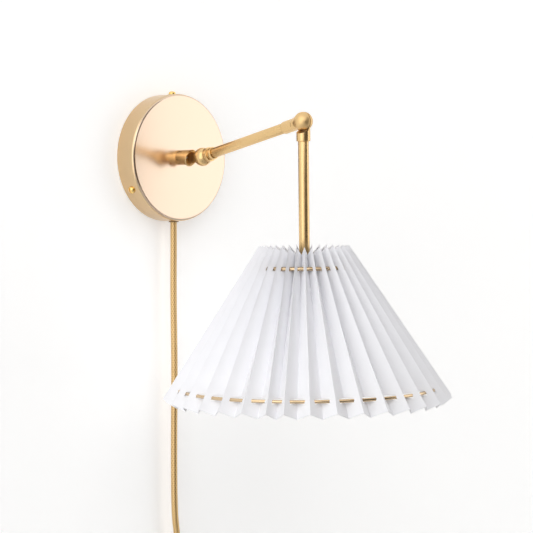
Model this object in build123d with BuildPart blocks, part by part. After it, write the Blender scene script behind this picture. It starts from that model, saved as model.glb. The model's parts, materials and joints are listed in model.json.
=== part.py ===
from build123d import *
from math import atan2, cos, pi, radians, sin, sqrt, tan
import os

# Plug-in wall sconce: a round cup on the wall, a jointed brass arm and a pleated shade on wire rings.
# Millimetres. The origin is the middle of the face that lies on the wall, +Z is up, +X is to the right of
# someone who faces the wall, and the lamp stands out from the wall along -Y.

# Wall cup and the bracket behind it
CUP_DIAMETER = 120.0
CUP_DEPTH = 22.0
CUP_WALL = 1.2
CUP_EDGE_RADIUS = 2.0
BRACKET_THICKNESS = 1.5
BRACKET_HUB_DIAMETER = 84.0
EAR_WIDTH = 16.0
EAR_CLEARANCE = 0.3
EAR_PAST_SCREW = 5.0
WALL_HOLE_DIAMETER = 5.0
WALL_HOLE_SPACING = 60.0

# Screws that hold the cup to the ears of the bracket
CUP_SCREW_COUNT = 3
CUP_SCREW_FIRST_ANGLE = 90.0
CUP_SCREW_DIAMETER = 4.0
CUP_SCREW_LENGTH = 8.0
CUP_SCREW_HEAD_DIAMETER = 7.0
CUP_SCREW_HEAD_HEIGHT = 3.0
SCREW_FIT = 0.05
HOLE_CLEARANCE = 0.25
CUP_HOLE_DEPTH = 2.4

# Round heads of all screws, as shares of the head's size
SLOT_WIDTH_SHARE = 0.16
SLOT_DEPTH_SHARE = 0.45
HEAD_ROUND_SHARE = 0.6

# Knuckles: two half balls that turn on a screw along X
BALL_DIAMETER = 17.0
NECK_DIAMETER = 9.6
WASHER_THICKNESS = 0.8
WASHER_DIAMETER = 14.0
RUNNING_CLEARANCE = 0.05
PIVOT_DIAMETER = 6.0
PIVOT_THREAD_DIAMETER = 5.0
PIVOT_THREAD_LENGTH = 5.0
PIVOT_HEAD_DIAMETER = 9.0
PIVOT_HEAD_HEIGHT = 2.2
PIVOT_SEAT = 5.0

# Stub on the cup, with an open slanted end, and the nipple that holds it
STUB_DIAMETER = 14.0
STUB_LENGTH = 14.0
STUB_TO_BALL = 16.0
STUB_FACE_TILT = 20.0
STUB_HOLLOW_DIAMETER = 11.0
STUB_HOLLOW_DEPTH = 4.5
STUB_HOLLOW_EDGE = 2.2
NIPPLE_DIAMETER = 10.0
NIPPLE_BORE = 7.0
NIPPLE_IN_STUB = 6.5
NIPPLE_IN_CUP = 7.0
NUT_WIDTH = 14.0
NUT_HEIGHT = 3.0
LOCK_WASHER_DIAMETER = 18.0
LOCK_WASHER_THICKNESS = 1.0

# Arm and stem
ARM_LENGTH = 131.0
ARM_RISE = 12.4
TUBE_DIAMETER = 9.5
TUBE_WALL = 1.0
TUBE_FIT = 0.05
ARM_COLLAR_DIAMETER = 11.4
WALL_COLLAR_START = 9.0
WALL_COLLAR_LENGTH = 4.0
ELBOW_COLLAR_START = 10.2
ELBOW_COLLAR_LENGTH = 14.8
STEM_COLLAR_DIAMETER = 12.4
STEM_COLLAR_START = 9.2
STEM_COLLAR_LENGTH = 8.4
COLLAR_FLOOR = 2.0
COLLAR_EDGE = 0.6
WIRE_WAY = 5.0
FLEX_DIAMETER = 5.0
FLEX_LIFT = 0.1

# Pleated shade and its rings
STEM_DROP = 128.0
PLEAT_COUNT = 36
PAPER_THICKNESS = 0.5
RIDGE_TOP_DIAMETER = 79.6
RIDGE_BOTTOM_DIAMETER = 252.4
RIDGE_HEIGHT = 133.5
PLEAT_DEPTH_TOP = 13.5
PLEAT_DEPTH_BOTTOM = 9.6
RING_WIRE = 3.0
RING_IN_FOLD = 0.44
UPPER_RING_DROP = 19.0
LOWER_RING_RISE = 9.0
SLOT_CLEARANCE = 0.3

# Lampholder and the spider that carries the upper ring
HOLDER_DIAMETER = 28.0
HOLDER_WALL = 1.6
HOLDER_LENGTH = 41.0
HOLDER_IN_CAP = 2.0
HOLDER_CLEARANCE = 0.05
CAP_DIAMETER = 34.0
CAP_HEIGHT = 8.0
CAP_CEILING = 1.5
CAP_EDGE_RADIUS = 4.8
SPIDER_PLATE_THICKNESS = 2.0
SPOKE_CLEARANCE = 0.5
SPOKE_ON_PLATE = 1.5
SPIDER_ARM_COUNT = 3
SHADE_NUT_DIAMETER = 40.0
SHADE_NUT_HEIGHT = 6.0
INSERT_HEIGHT = 12.0
INSERT_BELOW_TOP = 1.0
INSERT_HOLE_SPACING = 10.2
LAMP_THREAD_DIAMETER = 14.0
SHELL_WALL = 1.0
SHELL_LENGTH = 24.0
SHELL_FLANGE_DIAMETER = 21.0
SHELL_FLANGE_THICKNESS = 1.0
CONTACT_DIAMETER = 5.0
CONTACT_HEIGHT = 3.0

# Cord, its bush and its clamp in the cup
CORD_DIAMETER = 6.2
CORD_CLEARANCE = 0.1
BUSH_WALL = 1.4
BUSH_FLANGE_DIAMETER = 11.0
BUSH_FLANGE_HEIGHT = 1.4
BUSH_EDGE_RADIUS = 0.56
BUSH_LENGTH = 3.6
CORD_TOP = -36.0
CLAMP_LENGTH = 26.0
CLAMP_WIDTH = 8.0
CLAMP_CORNER = 1.6
CLAMP_BAR = 3.0
CLAMP_MIDDLE = -44.0
CLAMP_SCREW_SPACING = 17.0
CLAMP_GAP = 0.6
SMALL_SCREW_DIAMETER = 3.0
SMALL_SCREW_HEAD_DIAMETER = 5.4
SMALL_SCREW_HEAD_HEIGHT = 1.8

# Terminal block and the wires from it to the nipple
BLOCK_WIDTH = 18.0
BLOCK_HEIGHT = 14.0
BLOCK_DEPTH = 9.0
BLOCK_TOP = -16.0
BLOCK_WIRE_SPACING = 8.0
BLOCK_SCREW_ROWS = 7.0
BLOCK_SCREW_LENGTH = 2.0
LEAD_DIAMETER = 2.0
LEAD_SPACING = 3.4
LEAD_STANDOFF = 6.0

# In-line switch on the cord
SWITCH_TOP = -366.0
SWITCH_LENGTH = 60.0
SWITCH_WIDTH = 26.0
SWITCH_THICKNESS = 18.0
SWITCH_WALL = 1.8
SWITCH_END_WALL = 8.0
SWITCH_CORD_STOP = 1.0
SWITCH_EDGE = 3.0
SWITCH_CORNER = 10.4
ROCKER_LENGTH = 18.0
ROCKER_WIDTH = 11.4
ROCKER_HEIGHT = 7.0
ROCKER_BELOW_PIVOT = 1.75
ROCKER_CORNER = 1.0
ROCKER_PROUD = 3.0
ROCKER_TILT = 8.0
ROCKER_GAP = 1.0
ROCKER_SIDE_GAP = 0.3
ROCKER_PIN_DIAMETER = 2.0
LUG_THICKNESS = 2.0
LUG_HEIGHT = 5.0
SWITCH_SCREW_SPACING = 34.0
SWITCH_SCREW_DIAMETER = 2.5
SWITCH_SCREW_HEAD_DIAMETER = 4.4
SWITCH_SCREW_HEAD_HEIGHT = 1.6
SWITCH_POST_DIAMETER = 5.6
SWITCH_SCREW_OFFSET = 8.0
SWITCH_CONTACT_SIZE = 5.0
SWITCH_CONTACT_TOP = -1.75

# Put-away length of the cord: a two-layer coil below the switch, and the plug
CORD_RUN_BELOW_SWITCH = 30.0
COIL_RADIUS = 41.1
COIL_PITCH = 6.9
COIL_ENTRY_ANGLE = 45.0
COIL_INNER_HALF_TURNS = 5
COIL_OUTER_HALF_TURNS = 6
TAIL_RUN = 25.0
CORNER_SHARE = 0.45
TIE_WIDTH = 9.0
TIE_THICKNESS = 1.2
TIE_CLEARANCE = 0.3
SLEEVE_LENGTH = 22.0
SLEEVE_TOP_DIAMETER = 8.6
SLEEVE_BOTTOM_DIAMETER = 11.0
PLUG_LENGTH = 36.0
PLUG_TAPER = 21.6
PLUG_WIDTH = 35.0
PLUG_THICKNESS = 13.6
PLUG_NECK_WIDTH = 15.0
PLUG_EDGE = 3.0
PIN_DIAMETER = 4.0
PIN_END_RADIUS = 1.2
PIN_LENGTH = 19.0
PIN_SPACING = 18.6

# Values that follow from the sizes above
CUP_RADIUS = CUP_DIAMETER / 2
CUP_MIDDLE = CUP_DEPTH / 2
BALL_RADIUS = BALL_DIAMETER / 2
FLAT = WASHER_THICKNESS / 2
TUBE_RADIUS = TUBE_DIAMETER / 2
TUBE_BORE_RADIUS = TUBE_RADIUS - TUBE_WALL
CORD_RADIUS = CORD_DIAMETER / 2
PIVOT_RADIUS = PIVOT_DIAMETER / 2

WALL = Plane.XZ
UP = Vector(0, 0, 1)
ARM_DIRECTION = Vector(0, -cos(radians(ARM_RISE)), sin(radians(ARM_RISE)))
WALL_BALL = Vector(0, -(CUP_DEPTH + STUB_LENGTH + STUB_TO_BALL), 0)
ELBOW = WALL_BALL + ARM_DIRECTION * ARM_LENGTH

STUB_NECK = Plane(WALL_BALL, x_dir=(1, 0, 0), z_dir=(0, 1, 0))
ARM_START_NECK = Plane(WALL_BALL, x_dir=(1, 0, 0), z_dir=ARM_DIRECTION)
ARM_END_NECK = Plane(ELBOW, x_dir=(1, 0, 0), z_dir=-ARM_DIRECTION)
STEM_NECK = Plane(ELBOW, x_dir=(1, 0, 0), z_dir=(0, 0, -1))

STEM_AXIS = Axis((0, ELBOW.Y, 0), (0, 0, 1))
STEM_FLOOR = Plane(origin=(0, ELBOW.Y, 0))
STEM_SECTION = Plane(origin=(0, ELBOW.Y, 0), x_dir=(1, 0, 0), z_dir=(0, -1, 0))

RING_LEVEL = ELBOW.Z - STEM_DROP
RIDGE_TOP = RING_LEVEL + UPPER_RING_DROP
RIDGE_BOTTOM = RIDGE_TOP - RIDGE_HEIGHT
LOWER_RING_LEVEL = RIDGE_BOTTOM + LOWER_RING_RISE
SHADE_SLOPE = atan2((RIDGE_BOTTOM_DIAMETER - RIDGE_TOP_DIAMETER) / 2, RIDGE_HEIGHT)
VALLEY_TOP_RADIUS = RIDGE_TOP_DIAMETER / 2 - PLEAT_DEPTH_TOP * cos(SHADE_SLOPE)
VALLEY_BOTTOM_RADIUS = RIDGE_BOTTOM_DIAMETER / 2 - PLEAT_DEPTH_BOTTOM * cos(SHADE_SLOPE)
VALLEY_TOP = RIDGE_TOP - PLEAT_DEPTH_TOP * sin(SHADE_SLOPE)
VALLEY_BOTTOM = RIDGE_BOTTOM - PLEAT_DEPTH_BOTTOM * sin(SHADE_SLOPE)

CORD_Y = -CUP_MIDDLE
SWITCH_MIDDLE = SWITCH_TOP - SWITCH_LENGTH / 2
SWITCH_BOTTOM = SWITCH_TOP - SWITCH_LENGTH

os.makedirs("parts", exist_ok=True)


def slotted_screws(planes, head_diameter, head_height, shank_diameter, shank_length):
    """Round-head screws: each plane lies under a head and faces out of it."""
    slot_width = head_diameter * SLOT_WIDTH_SHARE
    slot_depth = head_height * SLOT_DEPTH_SHARE
    with BuildPart() as screws:
        with BuildSketch(*planes):
            Circle(head_diameter / 2)
        extrude(amount=head_height)
        tops = screws.faces().filter_by(GeomType.PLANE)
        outer = []
        for plane in planes:
            head_top = plane.offset(head_height).origin
            outer.append(min(tops, key=lambda face: (face.center() - head_top).length))
        fillet([edge for face in outer for edge in face.edges()], radius=head_height * HEAD_ROUND_SHARE)
        with BuildSketch(*planes):
            Circle(shank_diameter / 2)
        extrude(amount=-shank_length)
        with BuildSketch(*[plane.offset(head_height - slot_depth) for plane in planes]):
            Rectangle(slot_width, 2 * head_diameter)
        extrude(amount=head_height, mode=Mode.SUBTRACT)
    return screws


def hex_nut(plane, width, height, bore_diameter):
    """Hexagon nut that stands on a plane."""
    with BuildPart() as nut:
        with BuildSketch(plane):
            RegularPolygon(width / 2, 6, major_radius=False)
            Circle(bore_diameter / 2, mode=Mode.SUBTRACT)
        extrude(amount=height)
    return nut


def half_knuckle(neck, side, collar_diameter, collar_start, collar_length, socket_diameter, socket_depth):
    """Half ball with half a neck on one side of the flat, and a full round collar with a socket.

    The neck plane has its origin in the middle of the ball and faces along the neck, and side is the
    sign of X on which the half ball lies."""
    flat = Plane.YZ.offset(side * FLAT + (RUNNING_CLEARANCE if side > 0 else 0))
    collar_end = neck.offset(collar_start + collar_length)
    with BuildPart() as half:
        with Locations(neck.origin):
            Sphere(BALL_RADIUS)
        with BuildSketch(neck):
            Circle(NECK_DIAMETER / 2)
        extrude(amount=collar_start)
        split(bisect_by=flat, keep=Keep.TOP if side > 0 else Keep.BOTTOM)
        with BuildSketch(neck.offset(collar_start)):
            Circle(collar_diameter / 2)
        extrude(amount=collar_length)
        with BuildSketch(collar_end):
            Circle(socket_diameter / 2)
        extrude(amount=-socket_depth, mode=Mode.SUBTRACT)
        with BuildSketch(collar_end.offset(-socket_depth)):
            Circle(WIRE_WAY / 2)
        extrude(amount=socket_depth - collar_start - collar_length, mode=Mode.SUBTRACT)
        pivot = Plane(neck.origin, x_dir=(0, 1, 0), z_dir=(1, 0, 0))
        if side > 0:
            with BuildSketch(pivot):
                Circle(PIVOT_RADIUS + RUNNING_CLEARANCE)
            extrude(amount=BALL_RADIUS, mode=Mode.SUBTRACT)
            with BuildSketch(pivot.offset(PIVOT_SEAT)):
                Circle(PIVOT_HEAD_DIAMETER / 2 + HOLE_CLEARANCE)
            extrude(amount=BALL_RADIUS, mode=Mode.SUBTRACT)
        else:
            with BuildSketch(pivot):
                Circle(PIVOT_THREAD_DIAMETER / 2 + TUBE_FIT)
            extrude(amount=-(FLAT + PIVOT_THREAD_LENGTH + HOLE_CLEARANCE), mode=Mode.SUBTRACT)
    return half


def pivot_screw(ball):
    """Shoulder screw along X: its head lies in the +X half ball and its thread in the -X half."""
    pivot = Plane(ball, x_dir=(0, 1, 0), z_dir=(1, 0, 0))
    with BuildPart() as screw:
        with BuildSketch(pivot.offset(-FLAT)):
            Circle(PIVOT_RADIUS)
        extrude(amount=PIVOT_SEAT + RUNNING_CLEARANCE + FLAT)
        with BuildSketch(pivot.offset(-FLAT - PIVOT_THREAD_LENGTH)):
            Circle(PIVOT_THREAD_DIAMETER / 2)
        extrude(amount=PIVOT_THREAD_LENGTH)
        with BuildSketch(pivot.offset(PIVOT_SEAT + RUNNING_CLEARANCE)):
            Circle(PIVOT_HEAD_DIAMETER / 2)
        extrude(amount=PIVOT_HEAD_HEIGHT)
        with BuildSketch(pivot.offset(PIVOT_SEAT + RUNNING_CLEARANCE + PIVOT_HEAD_HEIGHT)):
            Rectangle(2 * PIVOT_HEAD_DIAMETER, PIVOT_HEAD_DIAMETER * SLOT_WIDTH_SHARE)
        extrude(amount=-PIVOT_HEAD_HEIGHT * SLOT_DEPTH_SHARE, mode=Mode.SUBTRACT)
    return screw


def friction_washer(ball):
    """Washer between the flats of a knuckle."""
    with BuildPart() as washer:
        with BuildSketch(Plane(ball, x_dir=(0, 1, 0), z_dir=(1, 0, 0)).offset(-FLAT)):
            Circle(WASHER_DIAMETER / 2)
            Circle(PIVOT_RADIUS + RUNNING_CLEARANCE, mode=Mode.SUBTRACT)
        extrude(amount=WASHER_THICKNESS)
    return washer


def tube(plane, length):
    """Brass tube that starts on a plane."""
    with BuildPart() as pipe:
        with BuildSketch(plane):
            Circle(TUBE_RADIUS)
            Circle(TUBE_BORE_RADIUS, mode=Mode.SUBTRACT)
        extrude(amount=length)
    return pipe


def flex(plane, length):
    """Two-core flex that lies on the lower side of a tube's bore."""
    drop = TUBE_BORE_RADIUS - FLEX_DIAMETER / 2 - FLEX_LIFT
    with BuildPart() as cable:
        with BuildSketch(plane):
            with Locations((0, drop)):
                Circle(FLEX_DIAMETER / 2)
        extrude(amount=length)
    return cable


# Wall bracket: a flat hub with three arms whose ends are bent out as ears for the cup screws
EAR_FACE = sqrt((CUP_RADIUS - CUP_WALL - EAR_CLEARANCE) ** 2 - (EAR_WIDTH / 2) ** 2)
SCREW_ANGLES = [radians(CUP_SCREW_FIRST_ANGLE + 360 / CUP_SCREW_COUNT * k) for k in range(CUP_SCREW_COUNT)]
SCREW_DIRECTIONS = [Vector(cos(angle), 0, sin(angle)) for angle in SCREW_ANGLES]
SCREW_PLANES = [
    Plane(direction * CUP_RADIUS - Vector(0, CUP_MIDDLE, 0), x_dir=(0, -1, 0), z_dir=direction)
    for direction in SCREW_DIRECTIONS
]

with BuildPart() as wall_bracket:
    with BuildSketch(WALL):
        Circle(BRACKET_HUB_DIAMETER / 2)
        with PolarLocations(EAR_FACE / 2, CUP_SCREW_COUNT, start_angle=CUP_SCREW_FIRST_ANGLE):
            Rectangle(EAR_FACE, EAR_WIDTH)
        with GridLocations(WALL_HOLE_SPACING, 0, 2, 1):
            Circle(WALL_HOLE_DIAMETER / 2, mode=Mode.SUBTRACT)
    extrude(amount=BRACKET_THICKNESS)
    with BuildSketch(WALL):
        ear_middle = EAR_FACE - BRACKET_THICKNESS / 2
        with PolarLocations(ear_middle, CUP_SCREW_COUNT, start_angle=CUP_SCREW_FIRST_ANGLE):
            Rectangle(BRACKET_THICKNESS, EAR_WIDTH)
    extrude(amount=CUP_MIDDLE + EAR_PAST_SCREW)
    with BuildSketch(*SCREW_PLANES):
        Circle(CUP_SCREW_DIAMETER / 2 + SCREW_FIT)
    extrude(amount=-CUP_SCREW_LENGTH, mode=Mode.SUBTRACT)
wall_bracket.part.label = "wall_bracket"
export_step(wall_bracket.part, "parts/wall_bracket.step")

# Wall cup: a spun shell, open at the wall
with BuildPart() as wall_cup:
    with BuildSketch(WALL):
        Circle(CUP_RADIUS)
    extrude(amount=CUP_DEPTH)
    fillet(wall_cup.faces().sort_by(Axis.Y)[0].edges(), radius=CUP_EDGE_RADIUS)
    offset(amount=-CUP_WALL, openings=wall_cup.faces().sort_by(Axis.Y)[-1])
    with BuildSketch(WALL):
        Circle(NIPPLE_DIAMETER / 2 + HOLE_CLEARANCE)
    extrude(amount=CUP_DEPTH, mode=Mode.SUBTRACT)
    with BuildSketch(*SCREW_PLANES):
        Circle(CUP_SCREW_DIAMETER / 2 + HOLE_CLEARANCE)
    extrude(amount=-CUP_HOLE_DEPTH, mode=Mode.SUBTRACT)
    with BuildSketch(Plane.XY.offset(-CUP_RADIUS)):
        with Locations((0, CORD_Y)):
            Circle(CORD_RADIUS + CORD_CLEARANCE + BUSH_WALL + CORD_CLEARANCE)
    extrude(amount=CUP_HOLE_DEPTH, mode=Mode.SUBTRACT)
wall_cup.part.label = "wall_cup"
export_step(wall_cup.part, "parts/wall_cup.step")

cup_screws = slotted_screws(
    SCREW_PLANES, CUP_SCREW_HEAD_DIAMETER, CUP_SCREW_HEAD_HEIGHT, CUP_SCREW_DIAMETER, CUP_SCREW_LENGTH
)
cup_screws.part.label = "cup_screws"
export_step(cup_screws.part, "parts/cup_screws.step")

# Stub: its outer end is slanted and hollow on the -X side, where the arm's half ball turns
STUB_SLANT = STUB_DIAMETER / 2 * tan(radians(STUB_FACE_TILT))
stub_blank = half_knuckle(
    STUB_NECK,
    1,
    STUB_DIAMETER,
    STUB_TO_BALL - STUB_SLANT,
    STUB_LENGTH + STUB_SLANT,
    NIPPLE_DIAMETER + 2 * SCREW_FIT,
    NIPPLE_IN_STUB,
)
STUB_FACE = Plane(
    origin=(0, -(CUP_DEPTH + STUB_LENGTH), 0),
    x_dir=(1, 0, 0),
    z_dir=(0, -cos(radians(STUB_FACE_TILT)), -sin(radians(STUB_FACE_TILT))),
)
with BuildPart() as stub:
    add(stub_blank.part)
    with BuildSketch(STUB_FACE):
        with Locations((FLAT, 0)):
            Rectangle(STUB_DIAMETER * 2, STUB_DIAMETER * 2, align=(Align.MAX, Align.CENTER))
    extrude(amount=STUB_TO_BALL, mode=Mode.SUBTRACT)
    with BuildSketch(STUB_FACE.offset(-STUB_HOLLOW_DEPTH)):
        Circle(STUB_HOLLOW_DIAMETER / 2)
        with Locations((STUB_HOLLOW_EDGE, 0)):
            Rectangle(STUB_DIAMETER, STUB_DIAMETER, align=(Align.MIN, Align.CENTER), mode=Mode.SUBTRACT)
    extrude(amount=STUB_HOLLOW_DEPTH + STUB_SLANT, mode=Mode.SUBTRACT)
stub.part.label = "stub"
export_step(stub.part, "parts/stub.step")

with BuildPart() as nipple:
    with BuildSketch(WALL.offset(CUP_DEPTH + NIPPLE_IN_STUB)):
        Circle(NIPPLE_DIAMETER / 2)
        Circle(NIPPLE_BORE / 2, mode=Mode.SUBTRACT)
    extrude(amount=-(NIPPLE_IN_STUB + CUP_WALL + NIPPLE_IN_CUP))
nipple.part.label = "nipple"
export_step(nipple.part, "parts/nipple.step")

CUP_CEILING = WALL.offset(CUP_DEPTH - CUP_WALL)
with BuildPart() as lock_washer:
    with BuildSketch(CUP_CEILING):
        Circle(LOCK_WASHER_DIAMETER / 2)
        Circle(NIPPLE_DIAMETER / 2 + HOLE_CLEARANCE, mode=Mode.SUBTRACT)
    extrude(amount=-LOCK_WASHER_THICKNESS)
lock_washer.part.label = "lock_washer"
export_step(lock_washer.part, "parts/lock_washer.step")

nipple_nut = hex_nut(
    CUP_CEILING.offset(-LOCK_WASHER_THICKNESS), NUT_WIDTH, -NUT_HEIGHT, NIPPLE_DIAMETER + 2 * SCREW_FIT
)
nipple_nut.part.label = "nipple_nut"
export_step(nipple_nut.part, "parts/nipple_nut.step")

# Knuckle halves of the arm and the stem, with their screws and washers
SOCKET_DIAMETER = TUBE_DIAMETER + 2 * TUBE_FIT
ARM_TUBE_START = WALL_COLLAR_START + COLLAR_FLOOR
ARM_TUBE_END = ARM_LENGTH - ELBOW_COLLAR_START - COLLAR_FLOOR
STEM_TUBE_START = STEM_COLLAR_START + COLLAR_FLOOR


def tube_knuckle(neck, side, diameter, start, length):
    """Half knuckle whose collar holds a tube, with the two outer edges of the collar rounded."""
    blank = half_knuckle(neck, side, diameter, start, length, SOCKET_DIAMETER, length - COLLAR_FLOOR)
    with BuildPart() as piece:
        add(blank.part)
        circles = piece.edges().filter_by(GeomType.CIRCLE)
        rims = []
        for distance in (start, start + length):
            centre = neck.offset(distance).origin
            at_rim = [edge for edge in circles if (edge.arc_center - centre).length < TUBE_FIT]
            rims.append(max(at_rim, key=lambda edge: edge.radius))
        fillet(rims, radius=COLLAR_EDGE)
    return piece


arm_wall_knuckle = tube_knuckle(
    ARM_START_NECK, -1, ARM_COLLAR_DIAMETER, WALL_COLLAR_START, WALL_COLLAR_LENGTH
)
arm_wall_knuckle.part.label = "arm_wall_knuckle"
export_step(arm_wall_knuckle.part, "parts/arm_wall_knuckle.step")

arm_elbow_knuckle = tube_knuckle(
    ARM_END_NECK, -1, ARM_COLLAR_DIAMETER, ELBOW_COLLAR_START, ELBOW_COLLAR_LENGTH
)
arm_elbow_knuckle.part.label = "arm_elbow_knuckle"
export_step(arm_elbow_knuckle.part, "parts/arm_elbow_knuckle.step")

stem_knuckle = tube_knuckle(STEM_NECK, 1, STEM_COLLAR_DIAMETER, STEM_COLLAR_START, STEM_COLLAR_LENGTH)
stem_knuckle.part.label = "stem_knuckle"
export_step(stem_knuckle.part, "parts/stem_knuckle.step")

wall_pivot_screw = pivot_screw(WALL_BALL)
wall_pivot_screw.part.label = "wall_pivot_screw"
export_step(wall_pivot_screw.part, "parts/wall_pivot_screw.step")
elbow_pivot_screw = pivot_screw(ELBOW)
elbow_pivot_screw.part.label = "elbow_pivot_screw"
export_step(elbow_pivot_screw.part, "parts/elbow_pivot_screw.step")
wall_friction_washer = friction_washer(WALL_BALL)
wall_friction_washer.part.label = "wall_friction_washer"
export_step(wall_friction_washer.part, "parts/wall_friction_washer.step")
elbow_friction_washer = friction_washer(ELBOW)
elbow_friction_washer.part.label = "elbow_friction_washer"
export_step(elbow_friction_washer.part, "parts/elbow_friction_washer.step")

# Arm tube and stem tube, with the flex that lies in each
ARM_TUBE_LENGTH = ARM_TUBE_END - ARM_TUBE_START
CAP_TOP = RING_LEVEL + SPIDER_PLATE_THICKNESS / 2 + CAP_HEIGHT
STEM_END = CAP_TOP - CAP_CEILING - NUT_HEIGHT
STEM_TUBE_LENGTH = ELBOW.Z - STEM_TUBE_START - STEM_END
arm_tube = tube(ARM_START_NECK.offset(ARM_TUBE_START), ARM_TUBE_LENGTH)
arm_tube.part.label = "arm_tube"
export_step(arm_tube.part, "parts/arm_tube.step")
stem_tube = tube(STEM_NECK.offset(STEM_TUBE_START), STEM_TUBE_LENGTH)
stem_tube.part.label = "stem_tube"
export_step(stem_tube.part, "parts/stem_tube.step")
arm_flex = flex(ARM_START_NECK.offset(ARM_TUBE_START), ARM_TUBE_LENGTH)
arm_flex.part.label = "arm_flex"
export_step(arm_flex.part, "parts/arm_flex.step")
stem_flex = flex(STEM_NECK.offset(STEM_TUBE_START), STEM_TUBE_LENGTH)
stem_flex.part.label = "stem_flex"
export_step(stem_flex.part, "parts/stem_flex.step")


# Pleated shade: the ridges and valleys are straight folds, and the pleat's depth is square to the slant
def ridge_radius(level):
    share = (RIDGE_TOP - level) / RIDGE_HEIGHT
    return (RIDGE_TOP_DIAMETER + (RIDGE_BOTTOM_DIAMETER - RIDGE_TOP_DIAMETER) * share) / 2


def valley_radius(level):
    share = (VALLEY_TOP - level) / (VALLEY_TOP - VALLEY_BOTTOM)
    return VALLEY_TOP_RADIUS + (VALLEY_BOTTOM_RADIUS - VALLEY_TOP_RADIUS) * share


def paper_shrink(level):
    """Share by which the star of the outer face shrinks to give the inner face of the paper."""
    half_pitch = pi / PLEAT_COUNT
    ridge = ridge_radius(level)
    valley = valley_radius(level)
    facet = sqrt(ridge**2 + valley**2 - 2 * ridge * valley * cos(half_pitch))
    facet_to_axis = ridge * valley * sin(half_pitch) / facet
    return 1 - PAPER_THICKNESS / facet_to_axis


def pleat_star(level, inner):
    """Corners of the shade's section at one level: a star with a valley on +X."""
    scale = paper_shrink(level) if inner else 1.0
    corners = []
    for fold in range(2 * PLEAT_COUNT):
        radius = ridge_radius(level) if fold % 2 else valley_radius(level)
        angle = fold * pi / PLEAT_COUNT
        corners.append((scale * radius * cos(angle), scale * radius * sin(angle)))
    return corners


SHADE_MARGIN = 2.0
BLANK_TOP = RIDGE_TOP + SHADE_MARGIN
BLANK_BOTTOM = VALLEY_BOTTOM - SHADE_MARGIN
INNER_SHARES = (0.0, 0.1, 0.25, 0.5, 1.0)


def edge_line(ridge_end, ridge_end_radius, radius):
    """Level of a cut edge's cone at a radius; the cone is square to the slant."""
    return ridge_end + (radius - ridge_end_radius) * tan(SHADE_SLOPE)


def ring_radius(level):
    return valley_radius(level) + RING_IN_FOLD * (ridge_radius(level) - valley_radius(level))


OUTSIDE = RIDGE_BOTTOM_DIAMETER
with BuildPart() as pleated_shade:
    for level in (BLANK_BOTTOM, BLANK_TOP):
        with BuildSketch(STEM_FLOOR.offset(level)):
            with BuildLine():
                Polyline(*pleat_star(level, inner=False), close=True)
            make_face()
    loft(ruled=True)
    for share in INNER_SHARES:
        level = BLANK_TOP + (BLANK_BOTTOM - BLANK_TOP) * share
        with BuildSketch(STEM_FLOOR.offset(level)):
            with BuildLine():
                Polyline(*pleat_star(level, inner=True), close=True)
            make_face()
    loft(ruled=True, mode=Mode.SUBTRACT)
    top_radius = RIDGE_TOP_DIAMETER / 2
    bottom_radius = RIDGE_BOTTOM_DIAMETER / 2
    with BuildSketch(STEM_SECTION):
        with BuildLine():
            Polyline(
                (0, edge_line(RIDGE_TOP, top_radius, 0)),
                (OUTSIDE, edge_line(RIDGE_TOP, top_radius, OUTSIDE)),
                (0, edge_line(RIDGE_TOP, top_radius, OUTSIDE)),
                close=True,
            )
        make_face()
        with BuildLine():
            Polyline(
                (0, edge_line(RIDGE_BOTTOM, bottom_radius, 0)),
                (OUTSIDE, edge_line(RIDGE_BOTTOM, bottom_radius, OUTSIDE)),
                (OUTSIDE, edge_line(RIDGE_BOTTOM, bottom_radius, 0)),
                close=True,
            )
        make_face()
        for level in (RING_LEVEL, LOWER_RING_LEVEL):
            with Locations((0, level)):
                Rectangle(
                    ring_radius(level) + RING_WIRE / 2 + SLOT_CLEARANCE,
                    RING_WIRE + 2 * SLOT_CLEARANCE,
                    align=(Align.MIN, Align.CENTER),
                )
    revolve(axis=STEM_AXIS, mode=Mode.SUBTRACT)
pleated_shade.part.label = "pleated_shade"
export_step(pleated_shade.part, "parts/pleated_shade.step")

# Wire rings: the lower one hangs in the slots, and the upper one is welded to the spider
with BuildPart() as lower_ring:
    with Locations((0, ELBOW.Y, LOWER_RING_LEVEL)):
        Torus(ring_radius(LOWER_RING_LEVEL), RING_WIRE / 2)
lower_ring.part.label = "lower_ring"
export_step(lower_ring.part, "parts/lower_ring.step")

SPOKE_START = max(CAP_DIAMETER, SHADE_NUT_DIAMETER) / 2 + SPOKE_CLEARANCE
with BuildPart() as upper_ring:
    with Locations((0, ELBOW.Y, RING_LEVEL)):
        Torus(ring_radius(RING_LEVEL), RING_WIRE / 2)
    with BuildSketch(STEM_FLOOR.offset(RING_LEVEL - SPIDER_PLATE_THICKNESS / 2)):
        Circle(SPOKE_START + SPOKE_ON_PLATE)
    extrude(amount=SPIDER_PLATE_THICKNESS)
    for k in range(SPIDER_ARM_COUNT):
        turn = 2 * pi / SPIDER_ARM_COUNT * k + pi / 2
        spoke = Plane(origin=(0, ELBOW.Y, RING_LEVEL), x_dir=(0, 0, 1), z_dir=(cos(turn), sin(turn), 0))
        with BuildSketch(spoke.offset(SPOKE_START)):
            Circle(RING_WIRE / 2)
        extrude(amount=ring_radius(RING_LEVEL) - SPOKE_START)
    with BuildSketch(STEM_FLOOR.offset(RING_LEVEL)):
        Circle(HOLDER_DIAMETER / 2 + HOLE_CLEARANCE)
    extrude(amount=RING_WIRE, both=True, mode=Mode.SUBTRACT)
upper_ring.part.label = "upper_ring"
export_step(upper_ring.part, "parts/upper_ring.step")

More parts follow.
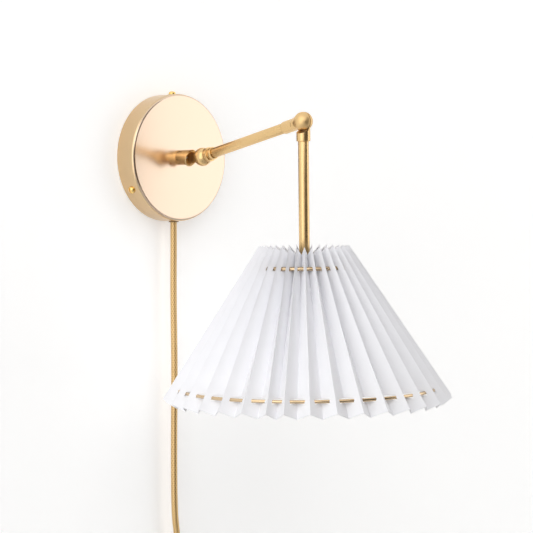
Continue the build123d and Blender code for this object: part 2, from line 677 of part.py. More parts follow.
# Lampholder: cap on the stem, body with the shade nut, ceramic insert with the thread shell and the contact
CAP_BOTTOM = RING_LEVEL + SPIDER_PLATE_THICKNESS / 2
HOLDER_TOP = CAP_BOTTOM + HOLDER_IN_CAP
HOLDER_BORE = HOLDER_DIAMETER - 2 * HOLDER_WALL
INSERT_TOP = HOLDER_TOP - INSERT_BELOW_TOP
INSERT_BOTTOM = INSERT_TOP - INSERT_HEIGHT
SHELL_RADIUS = LAMP_THREAD_DIAMETER / 2
NUT_TOP = RING_LEVEL - SPIDER_PLATE_THICKNESS / 2

with BuildPart() as lampholder_cap:
    with BuildSketch(STEM_FLOOR.offset(CAP_BOTTOM)):
        Circle(CAP_DIAMETER / 2)
    extrude(amount=CAP_HEIGHT)
    fillet(lampholder_cap.faces().sort_by(Axis.Z)[-1].edges(), radius=CAP_EDGE_RADIUS)
    with BuildSketch(STEM_FLOOR.offset(CAP_BOTTOM)):
        Circle(HOLDER_DIAMETER / 2 + HOLDER_CLEARANCE)
    extrude(amount=HOLDER_IN_CAP, mode=Mode.SUBTRACT)
    with BuildSketch(STEM_FLOOR.offset(CAP_BOTTOM)):
        Circle(HOLDER_BORE / 2)
    extrude(amount=CAP_HEIGHT - CAP_CEILING, mode=Mode.SUBTRACT)
    with BuildSketch(STEM_FLOOR.offset(CAP_BOTTOM)):
        Circle(TUBE_RADIUS + TUBE_FIT)
    extrude(amount=CAP_HEIGHT, mode=Mode.SUBTRACT)
lampholder_cap.part.label = "lampholder_cap"
export_step(lampholder_cap.part, "parts/lampholder_cap.step")

STEM_NUT_TOP = STEM_FLOOR.offset(CAP_TOP - CAP_CEILING)
stem_nut = hex_nut(STEM_NUT_TOP, NUT_WIDTH, -NUT_HEIGHT, TUBE_DIAMETER + 2 * SCREW_FIT)
stem_nut.part.label = "stem_nut"
export_step(stem_nut.part, "parts/stem_nut.step")

with BuildPart() as lampholder_body:
    with BuildSketch(STEM_FLOOR.offset(HOLDER_TOP)):
        Circle(HOLDER_DIAMETER / 2)
        Circle(HOLDER_BORE / 2, mode=Mode.SUBTRACT)
    extrude(amount=-HOLDER_LENGTH)
lampholder_body.part.label = "lampholder_body"
export_step(lampholder_body.part, "parts/lampholder_body.step")

with BuildPart() as shade_nut:
    with BuildSketch(STEM_FLOOR.offset(NUT_TOP)):
        Circle(SHADE_NUT_DIAMETER / 2)
        Circle(HOLDER_DIAMETER / 2 + HOLDER_CLEARANCE, mode=Mode.SUBTRACT)
    extrude(amount=-SHADE_NUT_HEIGHT)
    chamfer(shade_nut.faces().sort_by(Axis.Z)[0].edges().sort_by(SortBy.RADIUS)[-1], length=COLLAR_EDGE)
shade_nut.part.label = "shade_nut"
export_step(shade_nut.part, "parts/shade_nut.step")

with BuildPart() as lampholder_insert:
    with BuildSketch(STEM_FLOOR.offset(INSERT_TOP)):
        Circle(HOLDER_BORE / 2 - HOLDER_CLEARANCE)
        with GridLocations(INSERT_HOLE_SPACING, 0, 2, 1):
            Circle(LEAD_DIAMETER / 2 + HOLE_CLEARANCE, mode=Mode.SUBTRACT)
    extrude(amount=-INSERT_HEIGHT)
    with BuildSketch(STEM_FLOOR.offset(INSERT_BOTTOM)):
        Circle(CONTACT_DIAMETER / 2 + HOLDER_CLEARANCE)
    extrude(amount=CONTACT_HEIGHT, mode=Mode.SUBTRACT)
lampholder_insert.part.label = "lampholder_insert"
export_step(lampholder_insert.part, "parts/lampholder_insert.step")

with BuildPart() as thread_shell:
    with BuildSketch(STEM_FLOOR.offset(INSERT_BOTTOM)):
        Circle(SHELL_RADIUS + SHELL_WALL)
    extrude(amount=-SHELL_LENGTH)
    with BuildSketch(STEM_FLOOR.offset(INSERT_BOTTOM)):
        Circle(SHELL_FLANGE_DIAMETER / 2)
    extrude(amount=-SHELL_FLANGE_THICKNESS)
    with BuildSketch(STEM_FLOOR.offset(INSERT_BOTTOM)):
        Circle(SHELL_RADIUS)
    extrude(amount=-SHELL_LENGTH, mode=Mode.SUBTRACT)
thread_shell.part.label = "thread_shell"
export_step(thread_shell.part, "parts/thread_shell.step")

with BuildPart() as centre_contact:
    with BuildSketch(STEM_FLOOR.offset(INSERT_BOTTOM)):
        Circle(CONTACT_DIAMETER / 2)
    extrude(amount=CONTACT_HEIGHT)
centre_contact.part.label = "centre_contact"
export_step(centre_contact.part, "parts/centre_contact.step")

# Cord bush in the bottom of the cup
BUSH_OUTER = CORD_RADIUS + CORD_CLEARANCE + BUSH_WALL
with BuildPart() as cord_bush:
    with BuildSketch(Plane.XY.offset(-CUP_RADIUS)):
        with Locations((0, CORD_Y)):
            Circle(BUSH_OUTER)
    extrude(amount=BUSH_LENGTH)
    with BuildSketch(Plane.XY.offset(-CUP_RADIUS)):
        with Locations((0, CORD_Y)):
            Circle(BUSH_FLANGE_DIAMETER / 2)
    extrude(amount=-BUSH_FLANGE_HEIGHT)
    fillet(cord_bush.faces().sort_by(Axis.Z)[0].edges(), radius=BUSH_EDGE_RADIUS)
    with BuildSketch(Plane.XY.offset(-CUP_RADIUS)):
        with Locations((0, CORD_Y)):
            Circle(CORD_RADIUS + CORD_CLEARANCE)
    extrude(amount=CUP_DEPTH, both=True, mode=Mode.SUBTRACT)
cord_bush.part.label = "cord_bush"
export_step(cord_bush.part, "parts/cord_bush.step")

# Cord clamp: a base on the bracket and a bar, grooved for the cord and screwed together
CLAMP_FLOOR = WALL.offset(BRACKET_THICKNESS)
CLAMP_BASE_HEIGHT = CUP_MIDDLE - CLAMP_GAP / 2 - BRACKET_THICKNESS
CLAMP_BAR_START = CUP_MIDDLE + CLAMP_GAP / 2
CLAMP_BAR_HEIGHT = CORD_RADIUS + CLAMP_BAR - CLAMP_GAP / 2


def clamp_half(plane, height, screw_radius):
    with BuildPart() as half:
        with BuildSketch(plane):
            with Locations((0, CLAMP_MIDDLE)):
                RectangleRounded(CLAMP_LENGTH, CLAMP_WIDTH, CLAMP_CORNER)
                with GridLocations(CLAMP_SCREW_SPACING, 0, 2, 1):
                    Circle(screw_radius, mode=Mode.SUBTRACT)
        extrude(amount=height)
        with BuildSketch(Plane.XY.offset(CLAMP_MIDDLE)):
            with Locations((0, CORD_Y)):
                Circle(CORD_RADIUS + CORD_CLEARANCE)
        extrude(amount=CLAMP_WIDTH, both=True, mode=Mode.SUBTRACT)
    return half


clamp_base = clamp_half(CLAMP_FLOOR, CLAMP_BASE_HEIGHT, SMALL_SCREW_DIAMETER / 2 + SCREW_FIT)
clamp_base.part.label = "clamp_base"
export_step(clamp_base.part, "parts/clamp_base.step")
CLAMP_BAR_FLOOR = WALL.offset(CLAMP_BAR_START)
clamp_bar = clamp_half(CLAMP_BAR_FLOOR, CLAMP_BAR_HEIGHT, SMALL_SCREW_DIAMETER / 2 + HOLE_CLEARANCE)
clamp_bar.part.label = "clamp_bar"
export_step(clamp_bar.part, "parts/clamp_bar.step")
CLAMP_TOP = WALL.offset(CLAMP_BAR_START + CLAMP_BAR_HEIGHT)
CLAMP_SCREW_PLANES = [
    Plane(CLAMP_TOP.from_local_coords(Vector(x, CLAMP_MIDDLE, 0)), x_dir=(1, 0, 0), z_dir=(0, -1, 0))
    for x in (-CLAMP_SCREW_SPACING / 2, CLAMP_SCREW_SPACING / 2)
]
clamp_screws = slotted_screws(
    CLAMP_SCREW_PLANES,
    SMALL_SCREW_HEAD_DIAMETER,
    SMALL_SCREW_HEAD_HEIGHT,
    SMALL_SCREW_DIAMETER,
    CLAMP_BAR_HEIGHT + CLAMP_GAP + CLAMP_BASE_HEIGHT,
)
clamp_screws.part.label = "clamp_screws"
export_step(clamp_screws.part, "parts/clamp_screws.step")

# Terminal block on the bracket, between the clamp and the nipple
BLOCK_MIDDLE = BLOCK_TOP - BLOCK_HEIGHT / 2
with BuildPart() as terminal_block:
    with BuildSketch(CLAMP_FLOOR):
        with Locations((0, BLOCK_MIDDLE)):
            RectangleRounded(BLOCK_WIDTH, BLOCK_HEIGHT, LEAD_DIAMETER / 2)
    extrude(amount=BLOCK_DEPTH)
    with BuildSketch(Plane.XY.offset(BLOCK_TOP)):
        with Locations((0, -LEAD_STANDOFF)):
            with GridLocations(BLOCK_WIRE_SPACING, 0, 2, 1):
                Circle(LEAD_DIAMETER / 2 + CORD_CLEARANCE)
    extrude(amount=-BLOCK_HEIGHT, mode=Mode.SUBTRACT)
    with BuildSketch(CLAMP_FLOOR.offset(BLOCK_DEPTH)):
        with Locations((0, BLOCK_MIDDLE)):
            with GridLocations(BLOCK_WIRE_SPACING, BLOCK_SCREW_ROWS, 2, 2):
                Circle(SMALL_SCREW_DIAMETER / 2 + SCREW_FIT)
    extrude(amount=-BLOCK_SCREW_LENGTH, mode=Mode.SUBTRACT)
terminal_block.part.label = "terminal_block"
export_step(terminal_block.part, "parts/terminal_block.step")

BLOCK_FACE = CLAMP_FLOOR.offset(BLOCK_DEPTH)
BLOCK_SCREW_PLANES = [
    Plane(BLOCK_FACE.from_local_coords(Vector(x, BLOCK_MIDDLE + z, 0)), x_dir=(1, 0, 0), z_dir=(0, -1, 0))
    for x in (-BLOCK_WIRE_SPACING / 2, BLOCK_WIRE_SPACING / 2)
    for z in (-BLOCK_SCREW_ROWS / 2, BLOCK_SCREW_ROWS / 2)
]
terminal_screws = slotted_screws(
    BLOCK_SCREW_PLANES,
    SMALL_SCREW_HEAD_DIAMETER,
    SMALL_SCREW_HEAD_HEIGHT,
    SMALL_SCREW_DIAMETER,
    BLOCK_SCREW_LENGTH,
)
terminal_screws.part.label = "terminal_screws"
export_step(terminal_screws.part, "parts/terminal_screws.step")

# Wires from the cord's end through the block and up into the nipple
LEAD_TURN = 4.0
with BuildPart() as lamp_leads:
    for side in (-1, 1):
        block_x = side * BLOCK_WIRE_SPACING / 2
        nipple_x = side * LEAD_SPACING / 2
        nipple_end = -(CUP_DEPTH + NIPPLE_IN_STUB)
        with BuildLine() as lead_path:
            FilletPolyline(
                (side * CORD_RADIUS / 2, -LEAD_STANDOFF - LEAD_DIAMETER, CORD_TOP),
                (block_x, -LEAD_STANDOFF, BLOCK_TOP - BLOCK_HEIGHT),
                (block_x, -LEAD_STANDOFF, BLOCK_TOP + LEAD_TURN),
                (nipple_x, -LEAD_STANDOFF, 0),
                (nipple_x, nipple_end, 0),
                radius=LEAD_TURN / 2,
            )
        with BuildSketch(Plane(lead_path.line @ 0, z_dir=lead_path.line % 0)):
            Circle(LEAD_DIAMETER / 2)
        sweep(path=lead_path.line)
lamp_leads.part.label = "lamp_leads"
export_step(lamp_leads.part, "parts/lamp_leads.step")

# Cord: a straight hanging run from the clamp to the switch
SWITCH_CORD_DEPTH = SWITCH_END_WALL - SWITCH_CORD_STOP
with BuildPart() as cord_run:
    with BuildSketch(Plane.XY.offset(CORD_TOP)):
        with Locations((0, CORD_Y)):
            Circle(CORD_RADIUS)
    extrude(amount=SWITCH_TOP - SWITCH_CORD_DEPTH - CORD_TOP)
cord_run.part.label = "cord_run"
export_step(cord_run.part, "parts/cord_run.step")

# In-line switch: two shells that meet in the plane of the cord, a rocker on a pin, screws and contacts
SWITCH_HALF = SWITCH_THICKNESS / 2
SWITCH_PLANE = Plane(origin=(0, CORD_Y, SWITCH_MIDDLE), x_dir=(1, 0, 0), z_dir=(0, -1, 0))
ROCKER_PIVOT = SWITCH_HALF + ROCKER_PROUD + ROCKER_BELOW_PIVOT - ROCKER_HEIGHT
ROCKER_AXLE = Plane(SWITCH_PLANE.offset(ROCKER_PIVOT).origin, x_dir=(0, 1, 0), z_dir=(1, 0, 0))
CORD_LINE = Plane(origin=(0, CORD_Y, SWITCH_TOP))
SWITCH_POSTS = [
    (x, z)
    for x in (-SWITCH_SCREW_OFFSET, SWITCH_SCREW_OFFSET)
    for z in (-SWITCH_SCREW_SPACING / 2, SWITCH_SCREW_SPACING / 2)
]
POST_DEPTH = SWITCH_HALF - SWITCH_WALL


def switch_shell(direction):
    """One half of the switch housing; direction is 1 for the front half and -1 for the half at the wall."""
    with BuildPart() as shell:
        with BuildSketch(SWITCH_PLANE):
            RectangleRounded(SWITCH_WIDTH, SWITCH_LENGTH, SWITCH_CORNER)
        extrude(amount=direction * SWITCH_HALF)
        rim = shell.faces().filter_by(Axis.Y).sort_by(Axis.Y)[0 if direction > 0 else -1]
        fillet(rim.edges(), radius=SWITCH_EDGE)
        with BuildSketch(SWITCH_PLANE):
            RectangleRounded(
                SWITCH_WIDTH - 2 * SWITCH_WALL, SWITCH_LENGTH - 2 * SWITCH_END_WALL, SWITCH_EDGE
            )
        extrude(amount=direction * (SWITCH_HALF - SWITCH_WALL), mode=Mode.SUBTRACT)
        with BuildSketch(SWITCH_PLANE):
            with Locations(*SWITCH_POSTS):
                Circle(SWITCH_POST_DIAMETER / 2)
        extrude(amount=direction * POST_DEPTH)
        for end in (1, -1):
            with BuildSketch(CORD_LINE.offset((end - 1) / 2 * SWITCH_LENGTH)):
                Circle(CORD_RADIUS + CORD_CLEARANCE)
            extrude(amount=-end * SWITCH_END_WALL, mode=Mode.SUBTRACT)
    return shell


front_blank = switch_shell(1)
with BuildPart() as switch_front:
    add(front_blank.part)
    with BuildSketch(SWITCH_PLANE):
        Rectangle(ROCKER_WIDTH + 2 * ROCKER_SIDE_GAP, ROCKER_LENGTH + 2 * ROCKER_GAP)
    extrude(amount=SWITCH_HALF, mode=Mode.SUBTRACT)
    lug_middle = (ROCKER_WIDTH + LUG_THICKNESS) / 2 + ROCKER_SIDE_GAP
    with BuildSketch(SWITCH_PLANE.offset(SWITCH_HALF - SWITCH_WALL)):
        with GridLocations(2 * lug_middle, 0, 2, 1):
            Rectangle(LUG_THICKNESS, LUG_HEIGHT)
    extrude(amount=-(SWITCH_HALF - SWITCH_WALL - ROCKER_PIVOT + LUG_HEIGHT / 2))
    with BuildSketch(ROCKER_AXLE):
        Circle(ROCKER_PIN_DIAMETER / 2 + RUNNING_CLEARANCE)
    extrude(amount=SWITCH_WIDTH / 2 - SWITCH_WALL, both=True, mode=Mode.SUBTRACT)
    with BuildSketch(SWITCH_PLANE):
        with Locations(*SWITCH_POSTS):
            Circle(SWITCH_SCREW_DIAMETER / 2 + SCREW_FIT)
    extrude(amount=POST_DEPTH, mode=Mode.SUBTRACT)
switch_front.part.label = "switch_front"
export_step(switch_front.part, "parts/switch_front.step")

back_blank = switch_shell(-1)
with BuildPart() as switch_back:
    add(back_blank.part)
    with BuildSketch(SWITCH_PLANE.offset(-SWITCH_HALF)):
        with Locations(*SWITCH_POSTS):
            Circle(SWITCH_SCREW_DIAMETER / 2 + HOLE_CLEARANCE)
    extrude(amount=SWITCH_HALF, mode=Mode.SUBTRACT)
    with BuildSketch(SWITCH_PLANE.offset(-SWITCH_HALF)):
        with Locations(*SWITCH_POSTS):
            Circle(SWITCH_SCREW_HEAD_DIAMETER / 2 + HOLE_CLEARANCE)
    extrude(amount=SWITCH_SCREW_HEAD_HEIGHT, mode=Mode.SUBTRACT)
switch_back.part.label = "switch_back"
export_step(switch_back.part, "parts/switch_back.step")

SWITCH_SCREW_PLANES = [
    Plane(
        SWITCH_PLANE.from_local_coords(Vector(x, z, SWITCH_SCREW_HEAD_HEIGHT - SWITCH_HALF)),
        x_dir=(1, 0, 0),
        z_dir=(0, 1, 0),
    )
    for x, z in SWITCH_POSTS
]
switch_screws = slotted_screws(
    SWITCH_SCREW_PLANES,
    SWITCH_SCREW_HEAD_DIAMETER,
    SWITCH_SCREW_HEAD_HEIGHT,
    SWITCH_SCREW_DIAMETER,
    SWITCH_HALF - SWITCH_SCREW_HEAD_HEIGHT + POST_DEPTH,
)
switch_screws.part.label = "switch_screws"
export_step(switch_screws.part, "parts/switch_screws.step")

ROCKER_FACE = SWITCH_PLANE.offset(ROCKER_PIVOT).rotated((ROCKER_TILT, 0, 0))
with BuildPart() as switch_rocker:
    with BuildSketch(ROCKER_FACE.offset(-ROCKER_BELOW_PIVOT)):
        RectangleRounded(ROCKER_WIDTH, ROCKER_LENGTH, ROCKER_CORNER)
    extrude(amount=ROCKER_HEIGHT)
    with BuildSketch(ROCKER_AXLE):
        Circle(ROCKER_PIN_DIAMETER / 2 + SCREW_FIT)
    extrude(amount=ROCKER_WIDTH, both=True, mode=Mode.SUBTRACT)
switch_rocker.part.label = "switch_rocker"
export_step(switch_rocker.part, "parts/switch_rocker.step")

with BuildPart() as rocker_pin:
    with BuildSketch(ROCKER_AXLE):
        Circle(ROCKER_PIN_DIAMETER / 2)
    extrude(amount=ROCKER_WIDTH / 2 + ROCKER_SIDE_GAP + LUG_THICKNESS, both=True)
rocker_pin.part.label = "rocker_pin"
export_step(rocker_pin.part, "parts/rocker_pin.step")

with BuildPart() as switch_contacts:
    with BuildSketch(SWITCH_PLANE.offset(-(SWITCH_HALF - SWITCH_WALL))):
        with GridLocations(0, ROCKER_LENGTH - SWITCH_CONTACT_SIZE, 1, 2):
            Rectangle(SWITCH_CONTACT_SIZE, SWITCH_CONTACT_SIZE)
    extrude(amount=SWITCH_HALF - SWITCH_WALL + SWITCH_CONTACT_TOP)
switch_contacts.part.label = "switch_contacts"
export_step(switch_contacts.part, "parts/switch_contacts.step")

# Cord below the switch: down, then slanting to meet the outer turn of the coil
ENTRY = radians(COIL_ENTRY_ANGLE)
ENTRY_RADIUS = COIL_RADIUS + COIL_PITCH / 2
ENTRY_X = ENTRY_RADIUS * cos(ENTRY) - COIL_PITCH / 2
COIL_LEVEL = SWITCH_BOTTOM - CORD_RUN_BELOW_SWITCH - ENTRY_RADIUS * sin(ENTRY) - ENTRY_X / tan(ENTRY)
ENTRY_POINT = Vector(ENTRY_X, CORD_Y, COIL_LEVEL + ENTRY_RADIUS * sin(ENTRY))
ENTRY_DIRECTION = Vector(sin(ENTRY), 0, -cos(ENTRY))
COIL_START = ENTRY_POINT - ENTRY_DIRECTION * CORD_DIAMETER
SLACK_POINTS = [
    Vector(0, CORD_Y, SWITCH_BOTTOM + SWITCH_CORD_DEPTH),
    Vector(0, CORD_Y, SWITCH_BOTTOM - CORD_RUN_BELOW_SWITCH),
    COIL_START,
]


def corner_radii(points):
    """Arc for each corner of a route: a share of the shorter run over the tangent of half the turn."""
    radii = []
    for before, here, after in zip(points, points[1:], points[2:]):
        first = here - before
        second = after - here
        turn = radians(first.get_angle(second))
        radii.append(CORNER_SHARE * min(first.length, second.length) / tan(turn / 2))
    return radii


slack_radii = corner_radii(SLACK_POINTS)
print("cord_slack radii", [round(r, 1) for r in slack_radii])
with BuildPart() as cord_slack:
    with BuildLine() as slack_path:
        FilletPolyline(*SLACK_POINTS, radius=slack_radii[0])
    with BuildSketch(Plane(slack_path.line @ 0, z_dir=slack_path.line % 0)):
        Circle(CORD_RADIUS)
    sweep(path=slack_path.line)
cord_slack.part.label = "cord_slack"
export_step(cord_slack.part, "parts/cord_slack.step")

# Coil: half circles that spiral in on the layer at the wall, climb, and spiral out on the next layer
COIL_CENTRE = Vector(0, CORD_Y, COIL_LEVEL)
COIL_ACROSS = Vector(1, 0, 0)
COIL_LAYER = Vector(0, -COIL_PITCH, 0)


def coil_half_turns():
    """Start, middle and end of each half turn, from the right side of the outer turn to the tail."""
    halves = []
    point = COIL_CENTRE + COIL_ACROSS * COIL_RADIUS
    radius = COIL_RADIUS
    side = 1
    for k in range(COIL_INNER_HALF_TURNS + 1 + COIL_OUTER_HALF_TURNS):
        climbing = k == COIL_INNER_HALF_TURNS
        rise = COIL_LAYER if climbing else Vector(0, 0, 0)
        across = -COIL_ACROSS * side * sqrt((2 * radius) ** 2 - rise.length**2) + rise
        middle = point + across * 0.5 - UP * side * radius
        halves.append((point, middle, point + across))
        point = point + across
        side = -side
        radius += COIL_PITCH / 2 * (1 if k >= COIL_INNER_HALF_TURNS else -1)
    return halves


COIL_HALVES = coil_half_turns()
COIL_END = COIL_HALVES[-1][2]
TAIL_END = COIL_END - UP * TAIL_RUN
with BuildPart() as cord_coil:
    with BuildLine() as coil_path:
        Line(COIL_START, ENTRY_POINT)
        entry_middle = COIL_ACROSS * (ENTRY_RADIUS * cos(ENTRY / 2) - COIL_PITCH / 2)
        entry_middle += UP * ENTRY_RADIUS * sin(ENTRY / 2)
        ThreePointArc(ENTRY_POINT, COIL_CENTRE + entry_middle, COIL_HALVES[0][0])
        for half in COIL_HALVES:
            ThreePointArc(*half)
        Line(COIL_END, TAIL_END)
    with BuildSketch(Plane(COIL_START, z_dir=ENTRY_DIRECTION)):
        Circle(CORD_RADIUS)
    sweep(path=coil_path.wires()[0])
cord_coil.part.label = "cord_coil"
export_step(cord_coil.part, "parts/cord_coil.step")


def least_self_gap(wire, diameter):
    """Least gap between turns of a tube, measured on points along its middle line."""
    count = 900
    points = [wire @ (k / count) for k in range(count + 1)]
    step = wire.length / count
    skip = int(4 * diameter / step)
    least = min(
        (points[i] - points[j]).length for i in range(0, count, 3) for j in range(i + skip, count + 1, 3)
    )
    return least - diameter


coil_wire = coil_path.wires()[0]
print("cord_coil least gap", round(least_self_gap(coil_wire, CORD_DIAMETER), 2))
print("cord_coil length", round(coil_wire.length, 1), "volume share",
      round(cord_coil.part.volume / (pi * CORD_RADIUS**2 * coil_wire.length), 4))
slack_length = slack_path.wires()[0].length
CORD_LENGTH = -CUP_RADIUS - SWITCH_TOP + SWITCH_LENGTH + slack_length + coil_wire.length
print("cord length from the cup to the plug", round(CORD_LENGTH, 1))

# Tie round all turns at the top of the coil
TURN_RADII = [COIL_RADIUS - COIL_PITCH / 2 * k for k in range(COIL_INNER_HALF_TURNS + 1)]
LAST_RADIUS = TURN_RADII[-1] + COIL_PITCH / 2 * COIL_OUTER_HALF_TURNS
TIE_INNER_LOW = min(TURN_RADII) - CORD_RADIUS - COIL_PITCH / 2
TIE_INNER_HIGH = max(COIL_RADIUS, LAST_RADIUS) + CORD_RADIUS + TIE_CLEARANCE
TIE_DEPTH = COIL_PITCH + CORD_DIAMETER + 2 * TIE_CLEARANCE
TIE_PLANE = Plane(
    origin=(0, CORD_Y - COIL_PITCH / 2, COIL_LEVEL + (TIE_INNER_LOW + TIE_INNER_HIGH) / 2),
    x_dir=(0, 1, 0),
    z_dir=(1, 0, 0),
)
with BuildPart() as cord_tie:
    with BuildSketch(TIE_PLANE):
        tie_height = TIE_INNER_HIGH - TIE_INNER_LOW
        RectangleRounded(TIE_DEPTH + 2 * TIE_THICKNESS, tie_height + 2 * TIE_THICKNESS, CORD_RADIUS)
        RectangleRounded(TIE_DEPTH, tie_height, CORD_RADIUS - TIE_THICKNESS, mode=Mode.SUBTRACT)
    extrude(amount=TIE_WIDTH / 2, both=True)
cord_tie.part.label = "cord_tie"
export_step(cord_tie.part, "parts/cord_tie.step")

# Plug: bend sleeve, body and two pins, hanging at the end of the tail
SLEEVE_TOP = Plane(TAIL_END, x_dir=(1, 0, 0), z_dir=(0, 0, -1))
PLUG_TOP = SLEEVE_TOP.offset(SLEEVE_LENGTH)
PLUG_FACE = PLUG_TOP.offset(PLUG_LENGTH)
with BuildPart() as plug_sleeve:
    with BuildSketch(SLEEVE_TOP):
        Circle(SLEEVE_TOP_DIAMETER / 2)
    with BuildSketch(PLUG_TOP):
        Circle(SLEEVE_BOTTOM_DIAMETER / 2)
    loft()
plug_sleeve.part.label = "plug_sleeve"
export_step(plug_sleeve.part, "parts/plug_sleeve.step")

with BuildPart() as plug_body:
    with BuildSketch(PLUG_TOP):
        RectangleRounded(PLUG_NECK_WIDTH, PLUG_THICKNESS, PLUG_EDGE)
    with BuildSketch(PLUG_TOP.offset(PLUG_TAPER)):
        RectangleRounded(PLUG_WIDTH, PLUG_THICKNESS, PLUG_EDGE)
    with BuildSketch(PLUG_FACE):
        RectangleRounded(PLUG_WIDTH, PLUG_THICKNESS, PLUG_EDGE)
    loft(ruled=True)
plug_body.part.label = "plug_body"
export_step(plug_body.part, "parts/plug_body.step")

with BuildPart() as plug_pins:
    with BuildSketch(PLUG_FACE):
        with GridLocations(PIN_SPACING, 0, 2, 1):
            Circle(PIN_DIAMETER / 2)
    extrude(amount=PIN_LENGTH)
    fillet(plug_pins.faces().sort_by(Axis.Z)[:2].edges(), radius=PIN_END_RADIUS)
plug_pins.part.label = "plug_pins"
export_step(plug_pins.part, "parts/plug_pins.step")

print("elbow", ELBOW, "ring level", RING_LEVEL, "coil level", COIL_LEVEL)
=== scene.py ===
# %% [markdown]
# # A plug-in wall sconce
# A round brass cup sits on the wall. A short arm leaves it on a knuckle, a second knuckle lets a stem hang
# down, and the stem carries a white pleated shade on two wire rings. A gold textile cord hangs from the
# cup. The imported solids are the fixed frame. This lesson dresses them: it remodels what shows, gives every
# piece a finish made of nodes, and lights it like the catalogue photograph.

# %% Load the frame
import json
import math
import random

import bpy
from mathutils import Matrix, Vector


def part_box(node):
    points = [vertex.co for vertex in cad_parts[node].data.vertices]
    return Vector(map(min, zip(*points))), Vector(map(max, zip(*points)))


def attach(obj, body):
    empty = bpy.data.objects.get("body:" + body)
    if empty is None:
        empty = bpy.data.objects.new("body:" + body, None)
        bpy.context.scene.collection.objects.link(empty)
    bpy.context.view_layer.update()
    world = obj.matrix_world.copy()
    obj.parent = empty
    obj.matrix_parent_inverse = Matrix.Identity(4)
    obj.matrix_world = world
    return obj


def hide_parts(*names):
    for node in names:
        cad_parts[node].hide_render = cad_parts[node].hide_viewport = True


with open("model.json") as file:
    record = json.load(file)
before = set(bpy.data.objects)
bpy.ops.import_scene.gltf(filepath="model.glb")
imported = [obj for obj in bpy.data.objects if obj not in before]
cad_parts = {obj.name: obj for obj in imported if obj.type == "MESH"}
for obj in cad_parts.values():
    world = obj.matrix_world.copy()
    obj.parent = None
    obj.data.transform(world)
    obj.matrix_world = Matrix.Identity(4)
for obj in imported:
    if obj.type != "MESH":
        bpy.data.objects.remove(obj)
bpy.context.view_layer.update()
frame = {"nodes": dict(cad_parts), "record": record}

scene = bpy.context.scene
nodes = frame["nodes"]

# %% [markdown]
# ## The camera
# The photograph was taken from the left of the lamp, a little below the middle of the cup, with a long
# lens. Fitting the cup's ellipse, the knuckles and both rims of the shade gave the place, the lens and a
# small roll. The picture is square, so the lens is set on the sensor's width.

# %% Camera
PICTURE_WIDTH = 533
FOCAL_PIXELS = 1704.6
SENSOR_WIDTH = 36.0
CAMERA_PLACE = Vector((-1.0995, -1.2011, -0.0375))
VIEW_DIRECTION = Vector((0.7167, 0.6961, -0.0410))
CAMERA_ROLL = math.radians(-0.56)

camera_data = bpy.data.cameras.new("photo_camera")
camera_data.sensor_width = SENSOR_WIDTH
camera_data.lens = FOCAL_PIXELS / PICTURE_WIDTH * SENSOR_WIDTH
camera = bpy.data.objects.new("photo_camera", camera_data)
scene.collection.objects.link(camera)
camera.location = CAMERA_PLACE
turn = VIEW_DIRECTION.to_track_quat("-Z", "Y").to_matrix() @ Matrix.Rotation(CAMERA_ROLL, 3, "Z")
camera.rotation_euler = turn.to_euler()
scene.camera = camera
print("lens", round(camera_data.lens, 1), "mm")

# %% [markdown]
# ## Sizes that the pieces share
# All sizes are in metres, in the frame of the solids: the origin is on the wall behind the cup, +Z is up
# and the lamp stands out along -Y. The two balls of the knuckles and the direction of the arm place most
# pieces.

# %% Shared sizes
MM = 0.001
CUP_RADIUS = 60 * MM
CUP_DEPTH = 22 * MM
CORD_Y = -CUP_DEPTH / 2
CORD_DIAMETER = 6.2 * MM
BALL_RADIUS = 8.5 * MM
BALL_FROM_WALL = 52 * MM
TUBE_RADIUS = 4.75 * MM
TUBE_WALL = 1.0 * MM
ARM_RISE = math.radians(12.4)
ARM_LENGTH = 131 * MM
STEM_DROP = 128 * MM
UPWARDS = Vector((0, 0, 1))
DOWN = Vector((0, 0, -1))
ACROSS = Vector((1, 0, 0))
TOWARDS_ROOM = Vector((0, -1, 0))
ARM_DIRECTION = Vector((0, -math.cos(ARM_RISE), math.sin(ARM_RISE)))
WALL_BALL = Vector((0, -BALL_FROM_WALL, 0))
ELBOW = WALL_BALL + ARM_DIRECTION * ARM_LENGTH
RING_LEVEL = ELBOW.z - STEM_DROP
STEM_FOOT = Vector((0, ELBOW.y, RING_LEVEL))
print("elbow", [round(v, 4) for v in ELBOW], "upper ring at", round(RING_LEVEL, 4))

# %% [markdown]
# ## The hanging cord
# The cord is one length of round textile flex. It hangs from the cup to an in-line switch just below the
# picture, with a little sway. It is one smooth NURBS line that follows its control points, because a chain
# of straight tubes would show its corners.

# %% Hanging cord
SWITCH_TOP = -366 * MM
CORD_IN_SWITCH = 7 * MM
CORD_TOP = -36 * MM
STRAIGHT_BELOW_CUP = 10 * MM
STRAIGHT_ABOVE_SWITCH = 4 * MM
SWAY = ((-1.5, -130), (-1.0, -200), (-3.0, -270), (-3.6, -338))


def cord_point(x, z):
    """A point in the plane where the cord hangs."""
    return Vector((x, CORD_Y, z))


def cord_curve(name, points):
    """One smooth open NURBS line with a round section."""
    data = bpy.data.curves.new(name, "CURVE")
    data.dimensions = "3D"
    data.bevel_depth = CORD_DIAMETER / 2
    data.bevel_resolution = 6
    data.resolution_u = 10
    data.use_fill_caps = True
    spline = data.splines.new("NURBS")
    spline.points.add(len(points) - 1)
    for place, point in zip(spline.points, points):
        place.co = (*point, 1.0)
    spline.order_u = 3
    spline.use_endpoint_u = True
    curve = bpy.data.objects.new(name, data)
    scene.collection.objects.link(curve)
    return curve


def cord_length(cord):
    """Length of the line of a cord."""
    return cord.data.splines[0].calc_length()


